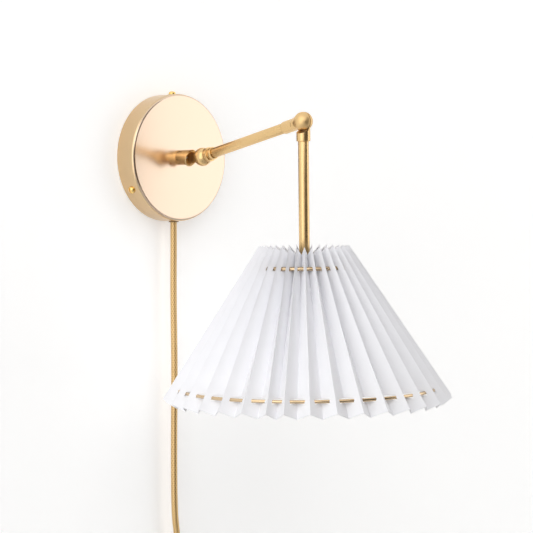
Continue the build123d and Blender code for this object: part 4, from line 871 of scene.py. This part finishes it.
# %% Knuckle halves of the arm
ARM_COLLAR = 5.7 * MM
FLARE_RADIUS = 7.3 * MM
FLARE = ((5.8 * MM, 6.75 * MM), (7.6 * MM, 6.3 * MM), (9.4 * MM, 5.95 * MM), (11.2 * MM, 5.72 * MM))
NECK_RADIUS = 6.1 * MM
NECK_RING = 6.7 * MM
NECK = ((6.1 * MM, NECK_RADIUS), (6.3 * MM, NECK_RING), (9.4 * MM, NECK_RING))
RING_PLACE = (9.0 * MM, 10.7 * MM)
GROOVE_RADIUS = 5.2 * MM
WALL_COLLAR = (11.6 * MM, 15.5 * MM)
ELBOW_COLLAR = (10.2 * MM, 23.0 * MM)
COLLAR_FLOOR = 2.0 * MM
COLLAR_RIM = 0.5 * MM
TUBE_FIT = 0.05 * MM


def collar_outline(radius, start, end, floor):
    """Outline of a collar whose socket for the tube goes down to a floor."""
    socket = TUBE_RADIUS + TUBE_FIT
    return [(start, 0), (start, radius), (end, radius), (end, socket), (floor, socket), (floor, 0)]


def arm_collar(place):
    """Outline of a collar of the arm between two distances from the middle of its ball."""
    return collar_outline(ARM_COLLAR, *place, place[0] + COLLAR_FLOOR)


ring_start, ring_end = RING_PLACE
wall_collar_outline = [
    (ring_start, 0), (ring_start, NECK_RING), (ring_end, NECK_RING), (ring_end, GROOVE_RADIUS),
    (WALL_COLLAR[0], GROOVE_RADIUS), *arm_collar(WALL_COLLAR)[1:],
]
wall_collar = turned("wall_collar", wall_collar_outline, WALL_BALL, ARM_DIRECTION, COLLAR_RIM)
wall_half = half_ball("arm_wall_half", WALL_BALL, ARM_DIRECTION, -1, NECK_RADIUS, NECK)
combined(wall_half, wall_collar, "UNION")
settled(wall_half, "arm", "polished_brass", "arm_wall_knuckle")

elbow_collar = turned("elbow_collar", arm_collar(ELBOW_COLLAR), ELBOW, -ARM_DIRECTION, COLLAR_RIM)
elbow_half = half_ball("arm_elbow_half", ELBOW, -ARM_DIRECTION, -1, FLARE_RADIUS, FLARE)
combined(elbow_half, elbow_collar, "UNION")
settled(elbow_half, "arm", "polished_brass", "arm_elbow_knuckle")

# %% [markdown]
# ## The knuckle of the stem
# The collar of the stem is cut at a slant where the arm's half ball turns over it, and a well in it is
# painted dark inside as shade. The cut is made before the union, because a bisect of the whole knuckle would
# take its half ball off.

# %% Knuckle half of the stem
STEM_COLLAR = 6.2 * MM
STEM_COLLAR_TOP = 6.6 * MM
STEM_COLLAR_END = 17.6 * MM
STEM_TUBE_START = 11.2 * MM
STEM_SLANT = math.radians(24)
STEM_SLANT_START = 8.0 * MM
STEM_WELL = 4.6 * MM
WELL_MARGIN = 0.2 * MM
WELL_BETWEEN = (5 * MM, STEM_TUBE_START + MM)

stem_collar_outline = collar_outline(STEM_COLLAR, STEM_COLLAR_TOP, STEM_COLLAR_END, STEM_TUBE_START)
stem_collar = turned("stem_collar", stem_collar_outline, ELBOW, DOWN, COLLAR_RIM)
slanted_up = UPWARDS * math.cos(STEM_SLANT) - ACROSS * math.sin(STEM_SLANT)
sliced(ELBOW + DOWN * STEM_SLANT_START, slanted_up)
well = turned("well", rod_outline(0, STEM_TUBE_START, STEM_WELL), ELBOW, DOWN)
combined(stem_collar, well, "DIFFERENCE")
stem_neck = [(STEM_TUBE_START - COLLAR_FLOOR / 2, STEM_COLLAR)]
stem_half = half_ball("stem_half", ELBOW, DOWN, 1, STEM_COLLAR, stem_neck)
combined(stem_half, stem_collar, "UNION")
settled(stem_half, "stem", "polished_brass", "stem_knuckle")
# The well of the collar is painted dark as shade.
paint_shade_inside(stem_half, ELBOW, DOWN, STEM_COLLAR - WELL_MARGIN, *WELL_BETWEEN)

# %% [markdown]
# ## The two tubes
# The arm and the stem are the same drawn brass tube. A closed outline is spun into a wall with a real bore,
# and the cut ends are slightly rounded.

# %% Tubes
TUBE_RIM = 0.2 * MM
ARM_TUBE_START = WALL_COLLAR[0] + COLLAR_FLOOR
ARM_TUBE_END = ARM_LENGTH - ELBOW_COLLAR[0] - COLLAR_FLOOR


def pipe(name, base, along, length):
    """A length of the drawn tube."""
    outline = tube_outline(0, length, TUBE_RADIUS - TUBE_WALL, TUBE_RADIUS)
    return turned(name, outline, base, along, TUBE_RIM)


arm_start = WALL_BALL + ARM_DIRECTION * ARM_TUBE_START
arm_pipe = pipe("arm_pipe", arm_start, ARM_DIRECTION, ARM_TUBE_END - ARM_TUBE_START)
settled(arm_pipe, "arm", "polished_brass", "arm_tube", finish="tube_brass")
stem_low, stem_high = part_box("stem_tube")
stem_pipe = pipe("stem_pipe", ELBOW + DOWN * STEM_TUBE_START, DOWN, stem_high[2] - stem_low[2])
settled(stem_pipe, "stem", "polished_brass", "stem_tube", finish="tube_brass")

# %% [markdown]
# ## The pleated shade
# The shade is one long strip of paper, folded into pleats and glued into a cone. Cloth simulation would
# soften the folds, but this paper keeps them sharp, so the folds are laid out by their two ends: each is a
# straight line from the top edge to the rim. The glued seam pinches one pleat at the rim, and the others
# share the rest of the circle. The paper bulges a little on one side, and small seeded differences keep it
# from looking machined.

# %% Folds of the shade
PLEATS = 36
FOLDS = 2 * PLEATS
RIDGE_TOP = (39.8 * MM, -80.87 * MM)
RIDGE_RIM = (126.2 * MM, -214.37 * MM)
VALLEY_TOP = (28.46 * MM, -88.2 * MM)
VALLEY_RIM = (118.14 * MM, -219.58 * MM)
LOWER_RING_RADIUS = 113.7 * MM
SEAM_AT_TOP = math.radians(207.8)
SEAM_AT_RIM = math.radians(211.35)
SEAM_PLEAT = math.radians(6.5)
UNEVEN_ANGLE = math.radians(0.35)
UNEVEN_RADIUS = 0.4 * MM
RIM_BULGE = 0.027
BULGE_TOWARDS = math.radians(-46)
STEM_Y = ELBOW.y

chance = random.Random(7)


def bulged(radius, angle):
    """Radius of the rim or of its wire at an angle; one side stands out a little."""
    return radius * (1 + RIM_BULGE * max(0, math.cos(angle - BULGE_TOWARDS)) ** 2)


def around_stem(place):
    """Distance of a place from the axis of the stem, and its angle round it."""
    return math.hypot(place.x, place.y - STEM_Y), math.atan2(place.y - STEM_Y, place.x)


def fold_place(end, angle):
    """Point on a fold's end circle, given as (radius, level)."""
    radius, level = end
    radius += chance.uniform(-UNEVEN_RADIUS, UNEVEN_RADIUS)
    angle += chance.uniform(-UNEVEN_ANGLE, UNEVEN_ANGLE)
    if radius > LOWER_RING_RADIUS:
        radius = bulged(radius, angle)
    return Vector((radius * math.cos(angle), STEM_Y + radius * math.sin(angle), level))


def rim_angle(fold):
    """Angle of a fold at the rim: fold 0 is the valley of the pinched pleat, odd folds are ridges."""
    if fold == 0:
        return SEAM_AT_RIM
    even_step = (2 * math.pi - SEAM_PLEAT) / (FOLDS - 2)
    return SEAM_AT_RIM + SEAM_PLEAT / 2 + even_step * (fold - 1)


fold_lines = []
for fold in range(FOLDS):
    top_end, rim_end = (RIDGE_TOP, RIDGE_RIM) if fold % 2 else (VALLEY_TOP, VALLEY_RIM)
    top_angle = SEAM_AT_TOP + fold * math.pi / PLEATS
    fold_lines.append((fold_place(top_end, top_angle), fold_place(rim_end, rim_angle(fold))))
print("folds", len(fold_lines))

# %% [markdown]
# A grid becomes the sheet: its columns go to the folds and between them, and its rows run down the slant. A
# row lies on each side of a wire ring, so that the slots for the wires are faces of the grid.

# %% Shade sheet
LOWER_RING_LEVEL = -205.37 * MM
SLOT_HALF = 1.8 * MM
STEPS_FROM_VALLEY = (0, 0.28, 0.57, 0.8)
STEPS_FROM_RIDGE = (0, 0.2, 0.43, 0.72)
FACET_BOW = 0.5 * MM
ROWS_BETWEEN = (2, 1, 14, 1, 2)


def row_levels():
    """Level of each row on the ridges and on the valleys."""
    marks = [(RIDGE_TOP[1], VALLEY_TOP[1])]
    for level in (RING_LEVEL, LOWER_RING_LEVEL):
        marks += [(level + SLOT_HALF, level + SLOT_HALF), (level - SLOT_HALF, level - SLOT_HALF)]
    marks.append((RIDGE_RIM[1], VALLEY_RIM[1]))
    rows = []
    for count, here, there in zip(ROWS_BETWEEN, marks, marks[1:]):
        for step in range(count):
            share = step / count
            rows.append(tuple(a + (b - a) * share for a, b in zip(here, there)))
    return rows + [marks[-1]]


def on_fold(fold, row):
    """Point of a fold line at the level of a row."""
    top, rim = fold_lines[fold % FOLDS]
    level = row[0] if fold % 2 else row[1]
    return top + (rim - top) * ((level - top.z) / (rim.z - top.z))


rows = row_levels()
columns = []
for fold in range(FOLDS):
    bow = chance.uniform(-FACET_BOW, FACET_BOW)
    for share in STEPS_FROM_RIDGE if fold % 2 else STEPS_FROM_VALLEY:
        columns.append((fold, share, bow * math.sin(math.pi * share)))
columns.append((FOLDS, 0, 0.0))

start_clean()
bpy.ops.mesh.primitive_grid_add(x_subdivisions=len(columns) - 1, y_subdivisions=len(rows) - 1, size=1)
shade = named("shade_sheet")
for number, vertex in enumerate(shade.data.vertices):
    fold, share, bow = columns[number % len(columns)]
    down = number // len(columns)
    row = rows[down]
    place = on_fold(fold, row).lerp(on_fold(fold + 1, row), share)
    facing = Vector((place.x, place.y - STEM_Y, 0)).normalized()
    vertex.co = place + facing * bow * math.sin(math.pi * down / (len(rows) - 1))
print("sheet", len(columns), "columns and", len(rows), "rows")

# %% [markdown]
# The slots are cut where the wires pass the inner folds: their faces are chosen by place and deleted. A
# Boolean could cut them too, but it would leave ragged edges in a sheet without thickness. Solidify then
# makes the paper.

# %% Shade slots and thickness
PAPER = 0.5 * MM
UPPER_RING_RADIUS = 43.3 * MM
SLOT_REACH = 1.8 * MM


def slot_face(face):
    """True for a face of the sheet where a wire ring passes through it."""
    out, angle = around_stem(face.center)
    lower_radius = bulged(LOWER_RING_RADIUS, angle)
    for level, radius in ((RING_LEVEL, UPPER_RING_RADIUS), (LOWER_RING_LEVEL, lower_radius)):
        if abs(face.center.z - level) < SLOT_HALF and out < radius + SLOT_REACH:
            return True
    return False


start_clean(shade)
open_mesh()
bpy.ops.mesh.remove_doubles(threshold=WELD)
bpy.ops.mesh.normals_make_consistent(inside=False)
bpy.ops.mesh.select_all(action="DESELECT")
close_mesh()
for face in shade.data.polygons:
    face.select = slot_face(face)
print("slot faces", sum(face.select for face in shade.data.polygons))
open_chosen("FACE")
bpy.ops.mesh.delete(type="FACE")
close_mesh()
with_modifier(shade, "SOLIDIFY", thickness=PAPER, offset=-1)
settled(shade, "stem", "shade_paper", "pleated_shade")

# %% [markdown]
# ## The wire rings
# Two rings of brass wire are threaded through the slots of the pleats, so they show as a row of short
# dashes. Each was bent from straight wire and welded shut at the back, so the torus gets a small bead
# there. The lower ring is slightly out of round, like the paper on it.

# %% Lower ring
WIRE_RADIUS = 1.5 * MM
BEAD_HALF_ANGLE = math.radians(1.2)
BEAD_SWELL = 1.25


def wire_ring(name, radius, level):
    """A ring of wire round the stem, with the bead of its weld."""
    start_clean()
    bpy.ops.mesh.primitive_torus_add(
        location=(0, STEM_Y, level), major_radius=radius, minor_radius=WIRE_RADIUS,
        major_segments=240, minor_segments=16,
    )
    piece = named(name)
    bpy.ops.object.transform_apply(location=True, rotation=False, scale=False)
    open_mesh("DESELECT")
    close_mesh()
    for vertex in piece.data.vertices:
        vertex.select = abs(math.atan2(vertex.co.x, vertex.co.y - STEM_Y)) < BEAD_HALF_ANGLE
    open_chosen("VERT")
    bpy.ops.transform.resize(value=(1, BEAD_SWELL, BEAD_SWELL), center_override=(0, STEM_Y + radius, level))
    close_mesh()
    return piece


lower_wire = wire_ring("lower_wire", LOWER_RING_RADIUS, LOWER_RING_LEVEL)
for vertex in lower_wire.data.vertices:
    angle = around_stem(vertex.co)[1]
    outwards = Vector((math.cos(angle), math.sin(angle), 0))
    vertex.co += outwards * (bulged(LOWER_RING_RADIUS, angle) - LOWER_RING_RADIUS)
settled(lower_wire, "stem", "ring_brass", "lower_ring")

# %% [markdown]
# The upper ring is welded to a spider: three straight spokes and a plate with a hole, which the
# lampholder's nut clamps. Plate and spokes are spun and joined to the ring with unions.

# %% Upper ring and spider
PLATE_RADIUS = 22.0 * MM
PLATE_HOLE = 14.25 * MM
PLATE_HALF = 1.0 * MM
PLATE_RIM = 0.2 * MM
SPOKE_START = 20.5 * MM
SPOKE_RADIUS = WIRE_RADIUS * 0.97
SPOKE_ANGLES = (90, 210, 330)

upper_wire = wire_ring("upper_wire", UPPER_RING_RADIUS, RING_LEVEL)
plate_outline = tube_outline(-PLATE_HALF, PLATE_HALF, PLATE_HOLE, PLATE_RADIUS)
plate = turned("plate", plate_outline, STEM_FOOT, UPWARDS, PLATE_RIM)
spoke_outline = rod_outline(SPOKE_START, UPPER_RING_RADIUS, SPOKE_RADIUS)
for angle in SPOKE_ANGLES:
    direction = Vector((math.cos(math.radians(angle)), math.sin(math.radians(angle)), 0))
    combined(plate, turned("spoke", spoke_outline, STEM_FOOT, direction, steps=24), "UNION")
combined(upper_wire, plate, "UNION")
settled(upper_wire, "stem", "ring_brass", "upper_ring")

# %% [markdown]
# ## The lampholder
# Under the shade, the stem ends in a white lampholder. Its skirt carries an outside thread, and the brass
# shell inside has the lamp's thread. Both are spun, with the threads drawn as waves in the outline: a true
# helix would look the same at this size and cost many more faces.

# %% Lampholder body and thread shell
HOLDER_RADIUS = 14.0 * MM
HOLDER_BORE = 12.4 * MM
HOLDER_TOP = 3.0 * MM
HOLDER_END = -38.0 * MM
HOLDER_RIM = 0.4 * MM
HOLDER_PITCH = 2.0 * MM
SKIRT_THREAD = (-8.0 * MM, -24.0 * MM)
SKIRT_THREAD_DEPTH = 0.35 * MM
SHELL_RADIUS = 7.0 * MM
SHELL_WALL = 1.0 * MM
SHELL_OUTSIDE = SHELL_RADIUS + SHELL_WALL
SHELL_TOP = -10.0 * MM
SHELL_END = -34.0 * MM
SHELL_FLANGE = 10.5 * MM
FLANGE_END = SHELL_TOP - 1.0 * MM
LAMP_THREAD_START = SHELL_TOP - 2.0 * MM
LAMP_THREAD_DEPTH = SHELL_WALL * 0.6
LAMP_PITCH = 2.8 * MM

skirt = [(HOLDER_TOP, HOLDER_BORE), (HOLDER_TOP, HOLDER_RADIUS), (SKIRT_THREAD[0], HOLDER_RADIUS)]
skirt += thread_outline(*SKIRT_THREAD, HOLDER_RADIUS, HOLDER_PITCH, SKIRT_THREAD_DEPTH)[1:]
skirt += [(HOLDER_END, HOLDER_RADIUS), (HOLDER_END, HOLDER_BORE), (HOLDER_TOP, HOLDER_BORE)]
holder = turned("holder_skirt", skirt, STEM_FOOT, UPWARDS)
rounded(holder, HOLDER_RIM, angle=60)
settled(holder, "stem", "white_plastic", "lampholder_body")

shell_inside = SHELL_RADIUS + LAMP_THREAD_DEPTH
shell_outline = [(SHELL_TOP, SHELL_RADIUS), (SHELL_TOP, SHELL_FLANGE), (FLANGE_END, SHELL_FLANGE)]
shell_outline += [(FLANGE_END, SHELL_OUTSIDE)]
shell_outline += thread_outline(LAMP_THREAD_START, SHELL_END, SHELL_OUTSIDE, LAMP_PITCH, LAMP_THREAD_DEPTH)
shell_outline += thread_outline(SHELL_END, LAMP_THREAD_START, shell_inside, LAMP_PITCH, LAMP_THREAD_DEPTH)
shell_outline += [(SHELL_TOP, SHELL_RADIUS)]
shell = turned("lamp_thread", shell_outline, STEM_FOOT, UPWARDS)
settled(shell, "stem", "plain_brass", "thread_shell")

# %% [markdown]
# A domed cap covers the top of the lampholder, and a ring nut on its skirt clamps the spider. The nut is
# spun, and every second face of its side is picked by its angle and pushed out into a rib for the fingers.

# %% Lampholder cap and ring nut
CAP_RADIUS = 17.0 * MM
CAP_BOTTOM = 1.0 * MM
CAP_TOP = 9.0 * MM
CAP_SHELL = 1.5 * MM
CAP_SIDE_END = CAP_BOTTOM + 3.0 * MM
CAP_ROUND = 5.0 * MM
CAP_STEPS = 8
CAP_BORE = HOLDER_RADIUS + TUBE_FIT
STEM_BORE = TUBE_RADIUS + TUBE_FIT
NUT_RADIUS = 20.0 * MM
NUT_TOP = -1.0 * MM
NUT_BOTTOM = -7.0 * MM
NUT_RIBS = 48
RIB_DEPTH = 0.7 * MM
LEVEL_NORMAL = 0.1
SIDE_SHARE = 0.95

cap_outline = [(CAP_BOTTOM, CAP_BORE), (CAP_BOTTOM, CAP_RADIUS), (CAP_SIDE_END, CAP_RADIUS)]
for angle in [math.pi / 2 * step / CAP_STEPS for step in range(1, CAP_STEPS + 1)]:
    rise = CAP_ROUND * math.sin(angle)
    cap_outline.append((CAP_SIDE_END + rise, CAP_RADIUS - CAP_ROUND * (1 - math.cos(angle))))
cap_outline += [(CAP_TOP, STEM_BORE), (CAP_TOP - CAP_SHELL, STEM_BORE), (CAP_TOP - CAP_SHELL, HOLDER_BORE)]
cap_outline += [(HOLDER_TOP, HOLDER_BORE), (HOLDER_TOP, CAP_BORE), cap_outline[0]]
cap = turned("holder_cap", cap_outline, STEM_FOOT, UPWARDS)
settled(cap, "stem", "zinc_steel", "lampholder_cap")

nut_outline = tube_outline(NUT_TOP, NUT_BOTTOM, CAP_BORE, NUT_RADIUS)
nut = turned("ring_nut", nut_outline, STEM_FOOT, UPWARDS, steps=2 * NUT_RIBS)
for face in nut.data.polygons:
    out, angle = around_stem(face.center)
    rib = math.floor(angle / (math.pi / NUT_RIBS))
    face.select = abs(face.normal.z) < LEVEL_NORMAL and out > NUT_RADIUS * SIDE_SHARE and rib % 2 == 0
start_clean(nut)
open_chosen("FACE")
bpy.ops.mesh.extrude_region_shrink_fatten(TRANSFORM_OT_shrink_fatten={"value": -RIB_DEPTH})
close_mesh()
settled(nut, "stem", "white_plastic", "shade_nut")

# %% [markdown]
# ## The plug's bend sleeve
# Where the cord enters the plug, a soft sleeve keeps it from kinking. It widens towards the plug and has
# rings cut round it, so that it bends evenly. Its outline steps in and out along the taper.

# %% Bend sleeve
SLEEVE_LENGTH = 22.0 * MM
SLEEVE_TOP_RADIUS = 4.3 * MM
SLEEVE_END_RADIUS = 5.5 * MM
SLEEVE_RINGS = 6
RING_GROOVE = 0.7 * MM
GROOVE_STEPS = ((0.45, 0), (0.5, RING_GROOVE), (0.85, RING_GROOVE), (0.9, 0))


def sleeve_outline():
    """Closed outline of the sleeve with its grooves."""
    outline = [(0, CORD_DIAMETER / 2), (0, SLEEVE_TOP_RADIUS)]
    for ring in range(SLEEVE_RINGS):
        for share, cut in GROOVE_STEPS:
            distance = SLEEVE_LENGTH * (ring + share) / (SLEEVE_RINGS + 1)
            radius = SLEEVE_TOP_RADIUS + (SLEEVE_END_RADIUS - SLEEVE_TOP_RADIUS) * distance / SLEEVE_LENGTH
            outline.append((distance, radius - cut))
    outline += [(SLEEVE_LENGTH, SLEEVE_END_RADIUS), (SLEEVE_LENGTH, CORD_DIAMETER / 2), outline[0]]
    return outline


sleeve = turned("bend_sleeve", sleeve_outline(), plug_point, DOWN, steps=64)
rounded(sleeve, FINE_BEVEL, segments=2, angle=30)
settled(sleeve, "wall_base", "ivory_plastic", "plug_sleeve")

# %% [markdown]
# ## The cord bush
# Where the cord leaves the cup, a small brown bush lines the hole. It is spun in one outline, a short
# sleeve with a low rounded flange.

# %% Cord bush
BUSH_RADIUS = 4.6 * MM
BUSH_FLANGE = 4.7 * MM
BUSH_HEIGHT = 0.9 * MM
BUSH_INSIDE = 3.6 * MM
BUSH_BORE = CORD_DIAMETER / 2 + 0.1 * MM
BUSH_RIM = 0.3 * MM

bush_outline = [
    (-BUSH_INSIDE, BUSH_BORE), (-BUSH_INSIDE, BUSH_RADIUS), (0, BUSH_RADIUS), (0, BUSH_FLANGE),
    (BUSH_HEIGHT, BUSH_FLANGE), (BUSH_HEIGHT, BUSH_BORE), (-BUSH_INSIDE, BUSH_BORE),
]
bush = turned("bush_ring", bush_outline, cord_point(0, -CUP_RADIUS), DOWN, BUSH_RIM, steps=64)
settled(bush, "wall_base", "dark_rubber", "cord_bush", finish="bush_rubber")

for cord, replaced in ((hanging_cord, ["cord_run"]), (coiled_cord, ["cord_slack", "cord_coil"])):
    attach(cord, "wall_base")
    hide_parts(*replaced)

# %% [markdown]
# ## The wall and the floor
# The lamp hangs on a plain white wall, and a pale floor lies below. The wall is a real lit surface, so the
# lamp's soft shadows lie on it. A small glow, only for the camera and for reflections, lifts it from pale
# grey to white. From behind the wall is see-through, so that the back of the lamp can be looked at.

# %% Wall and floor
WALL_COLOUR = (0.95, 0.95, 0.95, 1.0)
WALL_GLOW = 0.275
WALL_GAP = 0.4 * MM
FLOOR_COLOUR = (0.68, 0.68, 0.67, 1.0)
FLOOR_PLACE = (0, -2.0, -1.50)
STAGE_SIZE = 8
WHITE = (1, 1, 1, 1)


def seen_directly(tree):
    """Socket that is 1 for rays from the camera, from glossy surfaces and through glass."""
    path = add_node(tree, "ShaderNodeLightPath").outputs
    first = compute(tree, "ADD", path["Is Camera Ray"], path["Is Glossy Ray"])
    return compute(tree, "ADD", first, path["Is Transmission Ray"], use_clamp=True)


def stage_plane(name, size, location, rotation, paint):
    """A plain plane of the set, which isn't part of the lamp."""
    start_clean()
    bpy.ops.mesh.primitive_plane_add(size=size, location=location, rotation=rotation)
    plane = named(name)
    plane.data.materials.append(paint)
    return plane


wall_paint, tree, shader = start_material("wall_paint")
feed(tree, shader, {"Base Color": WALL_COLOUR, "Roughness": 0.9, "Specular IOR Level": 0.0})
strength = compute(tree, "MULTIPLY", seen_directly(tree), WALL_GLOW)
glow = add_node(tree, "ShaderNodeEmission", {"Color": WHITE, "Strength": strength})
lit = add_node(tree, "ShaderNodeAddShader", {0: shader.outputs[0], 1: glow.outputs[0]})
behind = add_node(tree, "ShaderNodeNewGeometry").outputs["Backfacing"]
clear = add_node(tree, "ShaderNodeBsdfTransparent")
one_sided = add_node(tree, "ShaderNodeMixShader", {0: behind, 1: lit.outputs[0], 2: clear.outputs[0]})
feed(tree, tree.nodes["Material Output"], {"Surface": one_sided.outputs[0]})

floor_paint, tree, shader = start_material("floor_paint")
feed(tree, shader, {"Base Color": FLOOR_COLOUR, "Roughness": 0.8})

wall = stage_plane("wall", STAGE_SIZE, (0, WALL_GAP, 0), (math.radians(90), 0, 0), wall_paint)
floor = stage_plane("floor", STAGE_SIZE, FLOOR_PLACE, (0, 0, 0), floor_paint)
print("stage", wall.name, floor.name)

# %% [markdown]
# ## The light
# The photograph has a large soft light from the left, which brightens the left side of every pleat, and
# another from the front right, which the cup's face mirrors. A third stands above the camera and fills the
# middle of the shade; the cup throws it on to the stub as a bright line. Between them, the studio is
# dark: the tubes show that as a dark stripe. Two dark cards stand there, out of the camera's sight.

# %% Lamps, cards and world
LAMP_AIM = Vector((0, -0.10, -0.06))
CARD_DISTANCE = 2.6
CARD_SIZE = (1.6, 3.4, 1.0)
CARD_COLOUR = (0.14, 0.12, 0.10, 1.0)
CARDS = (("dark_card_near", (-0.31, -0.95, 0.15)), ("dark_card_far", (0.26, -0.966, 0.15)))


def soft_light(name, direction, distance, width, height, radiance):
    """A rectangular soft light that faces the lamp; radiance is what a mirror would show."""
    data = bpy.data.lights.new(name, "AREA")
    data.shape = "RECTANGLE"
    data.size = width
    data.size_y = height
    data.energy = radiance * math.pi * width * height
    light = bpy.data.objects.new(name, data)
    scene.collection.objects.link(light)
    place = LAMP_AIM + Vector(direction).normalized() * distance
    light.location = place
    light.rotation_euler = (place - LAMP_AIM).to_track_quat("Z", "Y").to_euler()


soft_light("left_light", (-0.97, -0.24, 0.24), distance=1.7, width=1.1, height=3.2, radiance=0.82)
soft_light("right_light", (0.79, -0.61, 0.1), distance=1.6, width=1.0, height=1.8, radiance=0.505)
soft_light("top_light", (-0.42, -0.77, 0.48), distance=1.9, width=1.4, height=0.9, radiance=1.3)

card_paint, tree, shader = start_material("card_paint")
feed(tree, shader, {"Base Color": CARD_COLOUR, "Roughness": 0.9})
for name, direction in CARDS:
    facing = Vector(direction).normalized()
    card = stage_plane(name, 1, LAMP_AIM + facing * CARD_DISTANCE, (0, 0, 0), card_paint)
    card.scale = CARD_SIZE
    card.rotation_euler = facing.to_track_quat("Z", "Y").to_euler()
    card.visible_camera = False
    card.visible_shadow = False

world = bpy.data.worlds.new("studio")
scene.world = world
world.use_nodes = True
feed(world.node_tree, world.node_tree.nodes["Background"], {"Color": WHITE, "Strength": 1.0})
scene.view_settings.view_transform = "Standard"
